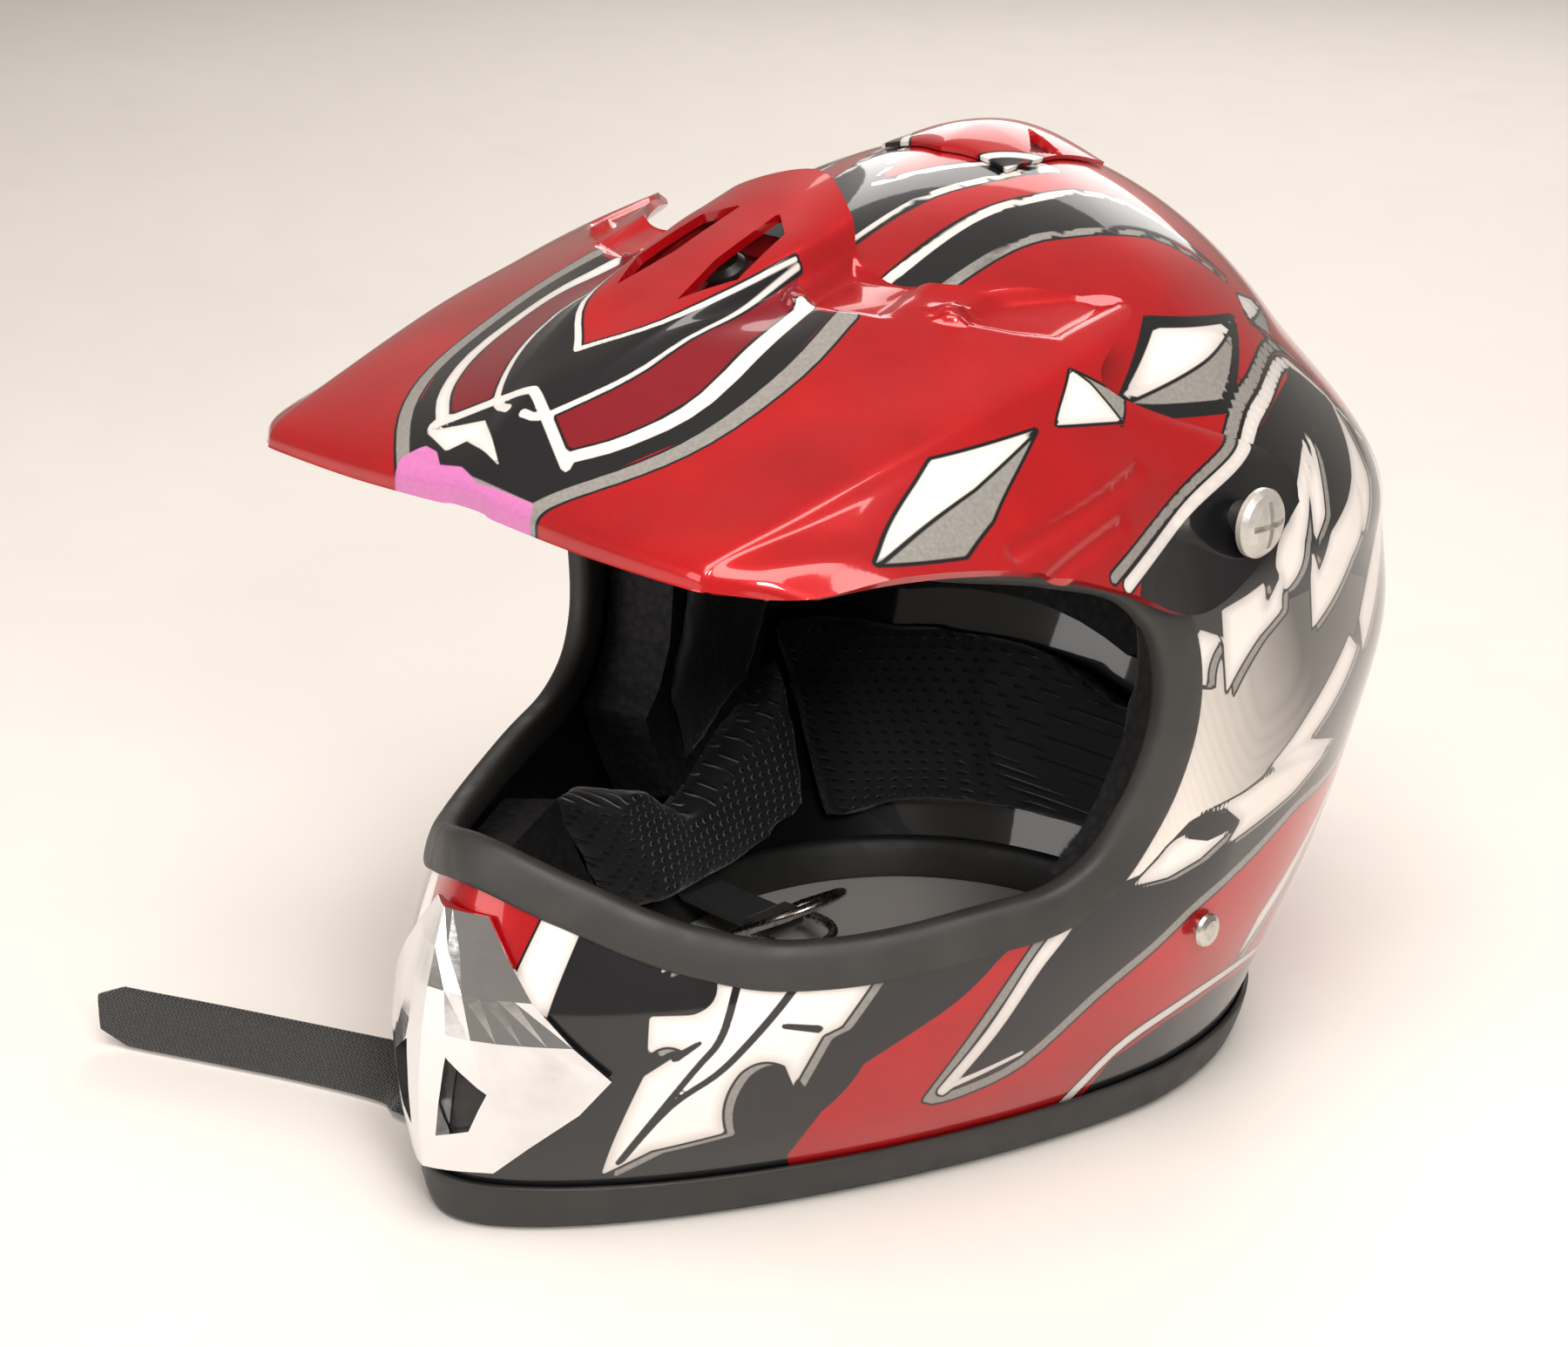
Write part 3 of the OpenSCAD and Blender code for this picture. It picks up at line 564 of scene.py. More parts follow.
def diskRadius(z):
    u = np.clip((np.asarray(z, float) - shell["waist"]) / (shell["top"] - shell["waist"]), 0, 1)
    p, w = shell["crownPower"], shell["waistRadius"]
    upper = w * np.degrees(np.arcsin((1 - u**p)**(1 / p))) / 90
    return np.where(np.asarray(z) < shell["waist"], w + (1 - w) * (1 - z / shell["waist"]), upper)


def diskAt(azimuth, z):
    a = np.radians(azimuth)
    return diskRadius(z)[..., None] * np.stack([np.sin(a), -np.cos(a)], -1)


def shellAt(azimuth, z, off):
    disk = diskAt(np.asarray(azimuth, float), np.asarray(z, float))
    return shellPoint(disk) + np.asarray(off, float)[..., None] * shellNormal(disk)


rimHalf = np.array(shell["rim"], float)
rimKnots = np.concatenate([rimHalf, (rimHalf[1:-1] * [-1, 1, -1] + [0, 0, 360])[::-1]])
rimDisk = diskAt(rimKnots[:, 0], rimKnots[:, 1])


def rimPoint(stations):
    # the station's edge azimuth picks a place between two knots of the closed rim curve
    n = len(rimDisk)
    s = np.interp(stations % 360, np.append(rimKnots[:, 2], 360), np.arange(n + 1))
    i = np.floor(s).astype(int) % n
    t = (s - np.floor(s))[:, None]
    a, b, c, d = (rimDisk[(i + k) % n] for k in (-1, 0, 1, 2))
    return 0.5 * (2 * b + (c - a) * t + (2 * a - 5 * b + 4 * c - d) * t**2 + (3 * b - a - 3 * c + d) * t**3)


def bottomPoint(stations):
    return diskAt(stations, np.full(len(stations), float(shell["edge"])))


def shellGrid(stations, fractions, off):
    rim, low = rimPoint(stations)[:, None], bottomPoint(stations)[:, None]
    disk = rim + (low - rim) * np.asarray(fractions)[None, :, None]
    return shellPoint(disk) + off * shellNormal(disk)


# the wrap coordinate: distance round the outline at mid height, from the front to each side
wrapAngles = np.linspace(0, 180, 181)
wrapOutline = shellAt(wrapAngles, np.full(181, 80.0), np.zeros(181))
wrapMiddle = 11
wrapKnown = np.degrees(np.arctan2(wrapOutline[:, 0], -(wrapOutline[:, 1] - wrapMiddle)))
wrapLength = np.append(0, np.cumsum(np.hypot(*np.diff(wrapOutline[:, :2], axis=0).T)))


def wrapped(points):
    angle = np.degrees(np.arctan2(np.abs(points[:, 0]), -(points[:, 1] - wrapMiddle)))
    return np.interp(angle, wrapKnown, wrapLength)


# side shapes are wrap distance and height, crown shapes are distance from the middle and y
sideArt = {
    "field": [(180, 164), (215, 186), (241, 203, -1.5), (284, 209, -3), (308, 203), (326, 188, -2),
        (334, 160, -2),
              (328, 134), (312, 114), (290, 94), (262, 91), (243, 84), (219, 74), (203, 64), (184, 53),
              (161, 36), (142, 31), (131, 29), (145, 50), (160, 71), (170, 84), (165, 120)],
    "chin": [(36.5, 102), (29, 60), (20, 44), (-3, 40), (-3, -12), (88, -12), (90, 18), (101, 33, 1),
        (113, 47),
             (131, 57, 1), (150, 71), (170, 87), (150, 110), (80, 110)],
    "tail": [(184, 8), (197, 25), (218, 32), (242, 35), (268, 34), (300, 26), (330, 8), (330, -12),
        (184, -12)],
    "panel": [(150, 78), (171, 84), (184, 86), (196, 88), (211, 101), (236, 108), (256, 122), (277, 138),
              (286, 152), (268, 160), (246, 160), (232, 160), (217, 141), (214, 150), (204, 149), (194, 156),
              (178, 158), (155, 120)],
    "white": [
        [(213, 164), (222, 166), (229, 168), (230, 161), (239, 172, 1), (237, 158), (228, 153, 1),
         (217, 139), (215, 150)],
        [(188, 166), (202, 161), (203, 156), (206, 160), (214, 156, 2), (210, 143, -2), (197, 152),
         (184, 153)],
        [(272, 199, 2), (243, 181, 2), (234, 171), (238, 163, 2), (248, 174), (257, 186)],
        [(277, 199, 1.5), (261, 178), (252, 172), (257, 187)],
        [(291, 184, -3), (274, 162, -1), (252, 148), (250, 164), (251, 172), (254, 164), (262, 173),
         (277, 178)],
        [(318, 200, 2), (300, 178), (283, 166), (286, 182)],
        [(322, 182, -3), (300, 146), (286, 130), (281, 142, -2), (304, 166)],
        [(274, 139), (281, 133, -2), (256, 111), (238, 109), (248, 116)],
        [(240, 109), (253, 114), (279, 105), (260, 104)],
        [(214, 102), (238, 107), (257, 108), (274, 103), (256, 96), (226, 90), (230, 96), (223, 102)],
        [(193, 85), (202, 92, -1.5), (212, 97), (226, 94), (216, 88), (205, 85)],
        [(252, 42), (257, 55, -1), (300, 88), (272, 58)],
        [(61, 88), (80, 86), (101, 84), (126, 86), (117, 74), (107, 60), (102, 58), (94, 43), (92, 50, 2.5),
         (80, 49, 2), (75, 30), (56, 26), (42, 18), (48, 32), (56, 50), (66, 57, 2), (57, 56), (57, 67),
         (68, 67, 3), (73, 77, 2), (58, 78)],
        [(26, 102), (36.5, 99), (29, 60), (21, 44), (13, 50), (18, 69)],
    ],
    "whiteLines": [
        ([(216, 187), (240, 204.5), (258, 209.5), (284, 212.5), (301, 209), (312, 198), (317, 184)],
         4.6, 2.0),
        ([(177, 85), (170, 76), (162, 67), (150, 49), (136, 32)], 5.0, 3.4),
        ([(137, 33), (146, 35), (161, 39)], 2.4, 1.2),
        ([(178, 10), (197, 28), (218, 35.5), (242, 38.5), (268, 37), (298, 29)], 3.8, 2.0),
    ],
    "greyLines": [
        ([(212, 190), (237, 208.7), (257, 214), (285, 217), (304, 213), (316, 202)], 4.0, 2.0),
        ([(171, 84), (164, 75), (156, 65), (144, 48), (131, 30)], 3.4, 2.2),
        ([(133, 29.5), (142, 30), (161, 35.5), (184, 52.5), (203, 63.5), (219, 73.5), (243, 83.5),
         (262, 90.5),
          (290, 93.5), (311, 112)], 3.2, 2.6),
        ([(256, 40), (276, 58), (304, 88)], 2.6, 0.8),
    ],
    "dark": [
        [(209, 96), (213, 101, -1), (219, 102), (225, 99), (225, 94), (218, 93)],
        [(62, 74), (68, 77, -1.5), (73, 74, -1), (70, 69), (62, 69.5)],
    ],
    "darkLines": [
        ([(80, 84), (78, 69), (75, 59), (68, 50), (47, 22)], 2.4, 1.6),
        ([(101, 82), (91, 68), (81, 56), (74, 49), (62, 40), (48, 23)], 2.4, 1.6),
        ([(92, 62), (101, 60)], 1.6, 2.4),
        ([(64, 55), (70, 59)], 2.4, 1.4),
        ([(202, 161), (205, 155)], 2.0, 1.4),
    ],
}
crownArt = {
    "black": [
        [(-1, -12), (12, 12, -1), (25, 31), (21, 8), (16, -12), (14, -50), (-1, -50)],
        [(34, -44), (33, -8, -2), (42, 33), (56, 52), (72, 66), (62, 50), (57, 26), (47, -8), (45, -44)],
    ],
    # the cut stones at the sides are y and height
    "stoneBlack": [[(-24, 213.5), (8, 234), (48, 227.5), (15, 210)]],
    "stoneWhite": [[(-18, 216.5), (8, 231), (42, 226.5)], [(53, 224), (59, 229), (77, 222)]],
    "stoneGrey": [[(-18, 216.5), (42, 226.5), (14, 213.5)], [(53, 224), (77, 222), (65, 218)]],
    "whiteLines": [
        ([(0, -13), (6, 0), (13, 13), (26, 32)], 3.0, 2.6),
        ([(15.5, -46), (16.5, -12), (22, 9), (29, 33)], 3.0, 2.6),
        ([(33.5, -44), (32.8, -8), (37, 14), (42, 33), (48, 44), (60, 55)], 3.4, 2.6),
    ],
    "greyLines": [
        ([(45.5, -44), (47, -8), (52, 10), (57.5, 26), (61, 40), (70, 58)], 3.0, 2.0),
    ],
}


def nothing(like):
    return np.full(like.shape, 99.0)


def shellFields(points):
    # every ink's distance field on the shell, the same on both sides
    q, z = wrapped(points), points[:, 2]
    x, y = np.abs(points[:, 0]), points[:, 1]
    high = 6 * np.clip((226 - z) / 6, 0, 20)  # keeps the crown's shapes off the walls
    low = 6 * np.clip((z - 222) / 6, 0, 20)

    def side(shapes, lines):
        parts = [shapeField(q, z, s) for s in shapes] + [lineField(q, z, *l) for l in lines]
        return joined(*parts) + low

    def crown(shapes, lines, guard):
        return joined(*[shapeField(x, y, s) for s in shapes], *[lineField(x, y, *l) for l in lines]) + guard

    def stones(key):
        return joined(*[shapeField(y, z, s) for s in crownArt[key]]) + np.where(x < 58, 20.0, 0.0)

    shadow = [[(p[0] + 2.6, p[1] - 1.2, *p[2:]) for p in s] for s in sideArt["white"][:13]]
    return {
        "inkMaroon": nothing(z),
        "inkBlack": joined(side([sideArt["field"], sideArt["chin"], sideArt["tail"]], []),
            stones("stoneBlack"),
                           crown(crownArt["black"], [], high * (z < 226))),
        "inkPanel": shapeField(q, z, sideArt["panel"]) + low,
        "panelTone": np.clip((q - 206 + 0.4 * (z - 112)) / 58, 0, 1),
        "inkWhiteAndReflection": joined(side(sideArt["white"], sideArt["whiteLines"]),
                           stones("stoneWhite"),
                           crown([], crownArt["whiteLines"], high * (z < 226))),
        "inkGrey": joined(side(shadow, sideArt["greyLines"]), stones("stoneGrey"),
                          crown([], crownArt["greyLines"], high * (z < 226))),
        "inkDarkAndSlotShade": side(sideArt["dark"], sideArt["darkLines"]),
        "inkReflectionGlow": nothing(z),
    }


def makeShell():
    # a skin from the eyeport rim to the bottom edge, outside and inside, closed at both
    turn = np.linspace(0, 360, 721)
    run = np.append(0, np.cumsum(np.linalg.norm(np.diff(shellPoint(bottomPoint(turn)), axis=0), axis=1)))
    stations = np.interp(np.arange(shell["around"]) / shell["around"] * run[-1], run, turn)
    outer = shellGrid(stations, np.linspace(0, 1, shell["down"]), 0)
    inner = shellGrid(stations, np.linspace(1, 0, shell["innerDown"]), -shell["wall"])
    grid = np.concatenate([outer, inner], 1)
    points, quads = closedRing(grid)
    fields = shellFields(points)
    lining = np.zeros(grid.shape[:2], bool)
    lining[:, shell["down"]:] = True
    fields["inkDarkAndSlotShade"][lining.ravel()] = -9.0
    piece = pieceFrom("shellSkin", points, quads, paintFinish("shellPaint"), **fields)
    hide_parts("outer_shell")
    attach(piece, "helmet")


makeShell()
print("shell made")

# ---------- rubber trims ----------
eyeTrim = {
    "stations": 300, "steps": 4,
    "profile": [(8.6, 0.3), (4, 0.15), (-0.5, 0.15), (-0.5, -3.75), (6, -3.9), (7.2, -5.2), (4, -6.4),
        (0, -6.4),
                (-3, -5.4), (-4.3, -3.4), (-4.3, -0.5), (-3.2, 1.6), (-0.6, 2.5), (3.4, 2.4), (7, 1.8),
                 (8.9, 1.0)],
}


def rimFrames(stations):
    # at each station: the rim point, the way onto the shell, and the shell's normal
    point = shellPoint(rimPoint(stations))
    normal = shellNormal(rimPoint(stations))
    along = unit(shellPoint(rimPoint(stations + 0.5)) - shellPoint(rimPoint(stations - 0.5)))
    onto = unit(np.cross(normal, along))
    rim, low = rimPoint(stations), bottomPoint(stations)
    ahead = shellPoint(rim + (low - rim) * 0.02) - point
    return point, onto * np.sign((onto * ahead).sum(-1, keepdims=True)), normal


def makeEyeTrim():
    # the profile is carried round the rim in the plane across it
    stations = np.arange(eyeTrim["stations"]) * 360 / eyeTrim["stations"]
    point, onto, normal = rimFrames(stations)
    profile = smoothLine(eyeTrim["profile"], eyeTrim["steps"], True)
    grid = point[:, None] + profile[None, :, :1] * onto[:, None] + profile[None, :, 1:] * normal[:, None]
    points, quads = closedRing(grid)
    piece = pieceFrom("eyeportRubber", points, quads,
        rubberFinish("eyeportRubber", tone(0.030, 0.029, 0.028), 0.52))
    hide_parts("eyeport_trim")
    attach(piece, "helmet")


footTrim = {
    "stations": 360, "steps": 4, "exit": -15, "exitLift": 3.4, "exitHalf": 7, "exitFade": 5,
    "profile": [(0.05, 0.6), (0.05, -3.6), (0.05, -7.6), (0.9, -8.4), (8, -8.5), (11.6, -7.8),
        (12.4, -6), (11.5, -4.6),
                (7.5, -4.4), (4.6, -4.2), (4.5, 0.35), (9, 0.35), (13.6, 0.3), (14.2, 1.2), (13.2, 2.3),
                (8.2, 2.9), (3.4, 2.9), (1.0, 2.4)],
}


def makeFootTrim():
    # the profile follows the bottom edge level by level, lifted where the strap runs out
    s = np.arange(footTrim["stations"]) * 360 / footTrim["stations"]
    away = np.abs((s - footTrim["exit"] + 180) % 360 - 180)
    lift = footTrim["exitLift"] * (1 - ease((away - footTrim["exitHalf"]) / footTrim["exitFade"]))
    profile = smoothLine(footTrim["profile"], footTrim["steps"], True)
    height = np.maximum(profile[None, :, 0], 0.02)
    height = height + lift[:, None] * np.clip(1 - height / 5, 0, 1)
    disk = diskAt(np.broadcast_to(s[:, None], height.shape), height)
    level = shellNormal(disk) * [1, 1, 0]
    points, quads = closedRing(shellPoint(disk) + profile[None, :, 1:] * unit(level))
    piece = pieceFrom("bottomRubber", points, quads,
        rubberFinish("bottomRubber", tone(0.022, 0.0215, 0.021), 0.48))
    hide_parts("bottom_trim")
    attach(piece, "helmet")


makeEyeTrim()
makeFootTrim()
print("trims made")

# ---------- the peak ----------
peakNet = [
    # rows run from the front lip to the rear edge, columns from the middle to the side edge
    [[0, -165, 201], [6, -165, 200.8], [13, -166, 200.3], [46, -166, 199], [80, -165, 199], [86, -163, 199],
     [92, -159, 198.5], [97, -154, 197.5]],
    [[0, -163, 210], [6, -163, 209.8], [13, -163, 209.3], [46, -163, 207], [80, -161, 206], [87, -158, 205],
     [96, -152, 203], [105, -144, 197.5]],
    [[0, -143, 227], [8, -142, 226.5], [16, -142, 225], [48, -140, 219], [84, -134, 215], [94, -130, 211],
     [105, -124, 206], [115, -122, 200]],
    [[0, -108, 243], [14, -112, 241.5], [22, -113, 238], [50, -104, 233], [88, -95, 226], [99, -94, 220],
     [111, -88, 208], [123, -88, 194.5]],
    [[0, -80, 254], [19, -86, 250], [27, -88, 242.5], [52, -80, 241], [90, -60, 234], [101, -68, 225],
     [115, -52, 208], [127, -53, 181]],
    [[0, -62, 260], [21, -68, 256], [29, -72, 246.5], [53, -66, 245], [90.5, -38, 239], [102, -54, 227],
     [114.5, -22, 207], [127, -22, 167]],
    [[0, -49, 264.5], [22, -56, 259], [30, -60, 248.5], [54, -57, 247], [90.5, -24, 241.5], [103, -44, 228],
     [117.5, 1, 204], [128.6, 1, 175]],
    [[0, -36, 268.5], [22, -46, 262], [31, -50, 250], [55, -50, 249], [90, -12, 243.5], [104, -36, 227.5],
     [117.8, 20, 200], [124.4, 24, 187]],
]
peak = {
    "wall": 2.6, "rowSteps": 26, "columnSteps": 18,
        "vent": [(11.5, -101), (19, -86), (16, -65), (7, -58), (7.5, -83)],
    "steps": [[(30, -76), (44, -74), (55, -69), (53.5, -50), (29, -52)],
              [(69, -56), (82, -47), (90, -39), (90, -13), (80, -18), (68, -40)]],
    "stepDepth": 2.6, "bosses": [(31, -76), (67, -55)], "bossRadius": 4.6, "bossHeight": 2.2,
    "grooves": [([(-89, 199), (-63, 202), (-35, 207)], 6.4), ([(-81, 191), (-48, 196.5)], 6.4)],
    "grooveDepth": 1.5,
}
peakArt = {
    # these are distance from the middle and y, and the arm's shapes are y and height
    "maroon": [[(3, -143), (24, -152), (34, -140), (39, -120), (33, -78), (25, -69), (23, -105),
        (20, -127), (10, -145)]],
    "black": [[(18, -175), (24, -165), (38, -151), (49, -130), (50, -100), (44.5, -76), (33, -79), (39, -120),
               (34, -140), (25, -152), (3, -142), (-2, -142), (-2, -175)],
              [(-2, -151), (3, -149), (10, -145), (20, -127), (24, -105), (25, -68), (21, -87),
               (15, -110), (3, -124),
               (-2, -126)]],
    "whiteLines": [([(24, -152.5), (35, -141), (41.5, -119.5), (36, -78)], 3.4, 5.0),
                   ([(26, -154), (3, -143), (-1, -142)], 2.8, 2.6),
                   ([(3, -148), (10.5, -145), (20.5, -127), (23.5, -105), (25, -69)], 2.2, 0.8),
                   ([(0, -126), (3, -123), (15, -110), (21, -87), (24, -69)], 2.2, 0.8)],
    "greyLines": [([(22, -168), (41, -150.5), (51, -129.5), (52.5, -99), (48, -75)], 3.2, 6.0),
                  ([(0, -164.4), (24, -164.8)], 1.6, 1.6)],
    # a painted highlight: a white reflection streak on the peak's front, drawn unmirrored
    "reflectionStreak": [(-27, -156), (-8, -151.5), (7, -160), (-9, -157), (-14, -160)],
    # a painted reflection: a pinkish glow on the front lip around the white streak, made rougher
    "reflectionGlow": [(-28, -163), (-23, -159.5), (-17, -160.5), (-13, -163), (-5, -162.5), (3, -164.2),
        (14, -164), (25, -164),
             (26, -180), (-28, -180)],
    "armWhite": [[(-128, 203), (-104, 216), (-97, 220), (-64, 222), (-90, 213)],
                 [(-57, 222), (-45, 233), (-41, 229), (-35, 219)]],
    "armGrey": [[(-128, 203), (-64, 222), (-90, 206), (-104, 201)],
        [(-45, 233), (-31, 224), (-35, 218), (-41, 226)]],
    "armBlack": [(-50, 176), (-43, 186), (-26, 192.5), (-8, 200), (9, 208), (40, 212), (40, 150), (-50, 150)],
    "armWhiteLine": ([(-52, 182.5), (-33, 188.5), (-14, 195.8), (10, 205)], 3.6, 3.6),
    "armGreyLine": ([(-57, 185.5), (-36, 192.2), (-16, 199), (8, 208.5)], 2.6, 2.6),
}


def peakFields(points):
    x, y, z = points.T
    ax = np.abs(x)
    top = np.where(ax > 92, 30.0, 0.0)
    arm = np.where(ax < 92, 30.0, 0.0)

    def several(key, u, v, guard):
        return joined(*[shapeField(u, v, s) for s in peakArt[key]]) + guard

    def lines(key, u, v, guard):
        return joined(*[lineField(u, v, *l) for l in peakArt[key]]) + guard

    white = joined(several("armWhite", y, z, arm), lineField(y, z, *peakArt["armWhiteLine"]) + arm)
    grey = joined(several("armGrey", y, z, arm), lineField(y, z, *peakArt["armGreyLine"]) + arm)
    return {
        "inkMaroon": several("maroon", ax, y, top),
        "inkBlack": joined(several("black", ax, y, top), shapeField(y, z, peakArt["armBlack"]) + arm),
        "inkPanel": nothing(z), "panelTone": np.zeros(len(z)),
        # the white ink here also holds the painted reflection streak on the peak's front
        "inkWhiteAndReflection": joined(lines("whiteLines", ax, y, top), white, shapeField(x, y, peakArt["reflectionStreak"])),
        "inkGrey": joined(lines("greyLines", ax, y, top), grey),
        "inkDarkAndSlotShade": nothing(z),
        # the painted reflection glow, on the front lip below the height of 212
        "inkReflectionGlow": shapeField(x, y, peakArt["reflectionGlow"]) + np.where(z > 212, 20.0, 0.0),
    }


def makePeak():
    # a sheet through the control net, pressed in at the steps and grooves, cut for the vents, then walled
    net = np.array(peakNet, float)
    net = np.concatenate([net[:, :0:-1] * [-1, 1, 1], net], 1)
    tall = np.stack([smoothLine(net[:, j], peak["rowSteps"]) for j in range(net.shape[1])], 1)
    grid = np.stack([smoothLine(row, peak["columnSteps"]) for row in tall])
    rows, columns = grid.shape[:2]
    normal = unit(np.cross(np.gradient(grid, axis=1), np.gradient(grid, axis=0)))
    normal *= np.sign(normal[rows // 2, columns // 2, 2])
    x, y, z = np.abs(grid[..., 0]), grid[..., 1], grid[..., 2]
    press = sum(ease(-shapeField(x, y, s) / 4.5 + 0.3) for s in peak["steps"]) * -peak["stepDepth"]
    for bx, by in peak["bosses"]:
        press += peak["bossHeight"] * ease((peak["bossRadius"] - np.hypot(x - bx, y - by)) / 1.8)
    for path, width in peak["grooves"]:
        press -= peak["grooveDepth"] * ease(-lineField(y, z, path, width) / 3.2) * (x > 100)
    grid = grid + press[..., None] * normal
    points, quads = grid.reshape(-1, 3), gridFaces(rows, columns)
    flat = normal.reshape(-1, 3)

    def hole(px, py):
        return shapeField(np.abs(px), py, peak["vent"])

    middle = points[quads].mean(1)
    quads = quads[hole(middle[:, 0], middle[:, 1]) > 0]
    edge = openEdge(quads)
    field = hole(points[:, 0], points[:, 1])
    onRim = np.zeros(len(points), bool)
    onRim[edge.ravel()] = True
    onRim &= np.abs(field) < 4
    e = 0.05
    for _ in range(3):
        field = hole(points[:, 0], points[:, 1])
        gx = (hole(points[:, 0] + e, points[:, 1]) - hole(points[:, 0] - e, points[:, 1])) / (2 * e)
        gy = (hole(points[:, 0], points[:, 1] + e) - hole(points[:, 0], points[:, 1] - e)) / (2 * e)
        dx, dy = -field * gx * onRim, -field * gy * onRim
        slope = (flat[:, 0] * dx + flat[:, 1] * dy) / np.maximum(0.3, flat[:, 2])
        points = points + np.stack([dx, dy, -slope], 1)
    if (pointNormals(points, quads) * flat).sum() < 0:
        quads = quads[:, ::-1]
    used, packed = np.unique(quads, return_inverse=True)
    points, quads = points[used], packed.reshape(-1, 4)
    fields = {k: np.tile(v, 2) for k, v in peakFields(points).items()}
    count = len(points)
    points, quads = walled(points, quads, peak["wall"])
    for key in fields:
        if key != "panelTone":
            fields[key][count:] = 99.0
    piece = pieceFrom("peakSkin", points, quads, paintFinish("peakPaint"), 42, **fields)
    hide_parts("peak")
    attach(piece, "visor")


peakFrame = {
    # the ribs under the scoop: lower and upper edges as y and height, and how far from the middle
    "ribLow": [(-101, 226.6), (-86, 234.2), (-71, 241.8), (-56, 249.4)],
    "ribHigh": [(-106, 235.0), (-88, 242.0), (-68, 251.0), (-56, 254.5)],
    "ribX": (20.8, 23.0),
    # the plate under the centre screw: its strips round the slot, in its own tilted plane
    "strips": [((-23, -4), (-36, 18)), ((4, 23), (-36, 18)), ((-4, 4), (-36, -9)), ((-4, 4), (9, 18))],
    "plateAt": (0, -68, 240.5), "plateTurn": 28, "plateHeight": (2.7, 4.8),
}


def makePeakFrame():
    # prisms only: sections carried along each rib, and a box for each strip of the plate
    groups, faces, count = [], [], 0

    def add(sections):
        nonlocal count
        points, quads = openRun(np.asarray(sections, float))
        if volumeOf(points, quads) < 0:
            quads = quads[:, ::-1]
        groups.append(points)
        faces.append(quads + count)
        count += len(points)

    x0, x1 = peakFrame["ribX"]
    for side in (1, -1):
        add([[(side * x0, *low), (side * x1, *low), (side * x1, *high), (side * x0, *high)]
             for low, high in zip(peakFrame["ribLow"], peakFrame["ribHigh"])])
    t = math.radians(peakFrame["plateTurn"])
    turn = np.array([[1, 0, 0], [0, math.cos(t), -math.sin(t)], [0, math.sin(t), math.cos(t)]])
    z0, z1 = peakFrame["plateHeight"]
    for (a, b), (c, d) in peakFrame["strips"]:
        local = np.array([[(a, y, z0), (b, y, z0), (b, y, z1), (a, y, z1)] for y in (c, d)], float)
        add(local @ turn.T + peakFrame["plateAt"])
    piece = pieceFrom("peakFrame", np.concatenate(groups), np.concatenate(faces),
                      mouldedFinish("peakInside", tone(0.30, 0.004, 0.006), 0.35), 30)
    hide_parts("peak")
    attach(piece, "visor")


makePeak()
makePeakFrame()
print("peak made")

# ---------- vents ----------
crownFairing = {
    "half": 0.055, "front": -0.03, "length": 0.11, "height": 3.4, "lift": 1.6, "gap": 0.35,
        "across": 90, "down": 110,
    # each slot is a triangle of distance from the middle and y
    "slot": [(10, 41), (21, 30), (22.5, 41)], "slotDepth": 3.0,
}


def makeCrownFairing():
    # a low dome on the disk patch: one less the square across, times a rooted sine along
    u = np.linspace(-1, 1, crownFairing["across"])[:, None]
    v = np.linspace(0, 1, crownFairing["down"])[None]
    disk = np.stack(np.broadcast_arrays(crownFairing["half"] * u,
        crownFairing["front"] + crownFairing["length"] * v), -1)
    rise = crownFairing["lift"] + crownFairing["height"] * (1 - u * u) * np.sin(np.pi * v)**0.6
    base, normal = shellPoint(disk), shellNormal(disk)
    slot = shapeField(np.abs(base[..., 0]), base[..., 1], crownFairing["slot"])
    rise = np.maximum(rise - crownFairing["slotDepth"] * ease(-slot / 0.8 + 0.5), crownFairing["gap"] + 0.3)
    top, under = base + rise[..., None] * normal, base + crownFairing["gap"] * normal
    count = top.shape[0] * top.shape[1]
    quads = gridFaces(*top.shape[:2])
    points = np.concatenate([top.reshape(-1, 3), under.reshape(-1, 3)])
    rim = openEdge(quads)
    sides = np.stack([rim[:, 1], rim[:, 0], rim[:, 0] + count, rim[:, 1] + count], 1)
    fields = shellFields(points)
    # the slots' hollows are painted black: painted shade where the vent openings would be dark
    fields["inkDarkAndSlotShade"] = np.tile(slot.ravel() + 0.3, 2)
    quads = np.concatenate([quads, quads[:, ::-1] + count, sides])
    piece = pieceFrom("crownFairing", points, quads, paintFinish("fairingPaint"), 40, **fields)
    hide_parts("crown_vent")
    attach(piece, "helmet")


makeCrownFairing()
print("crown fairing made")

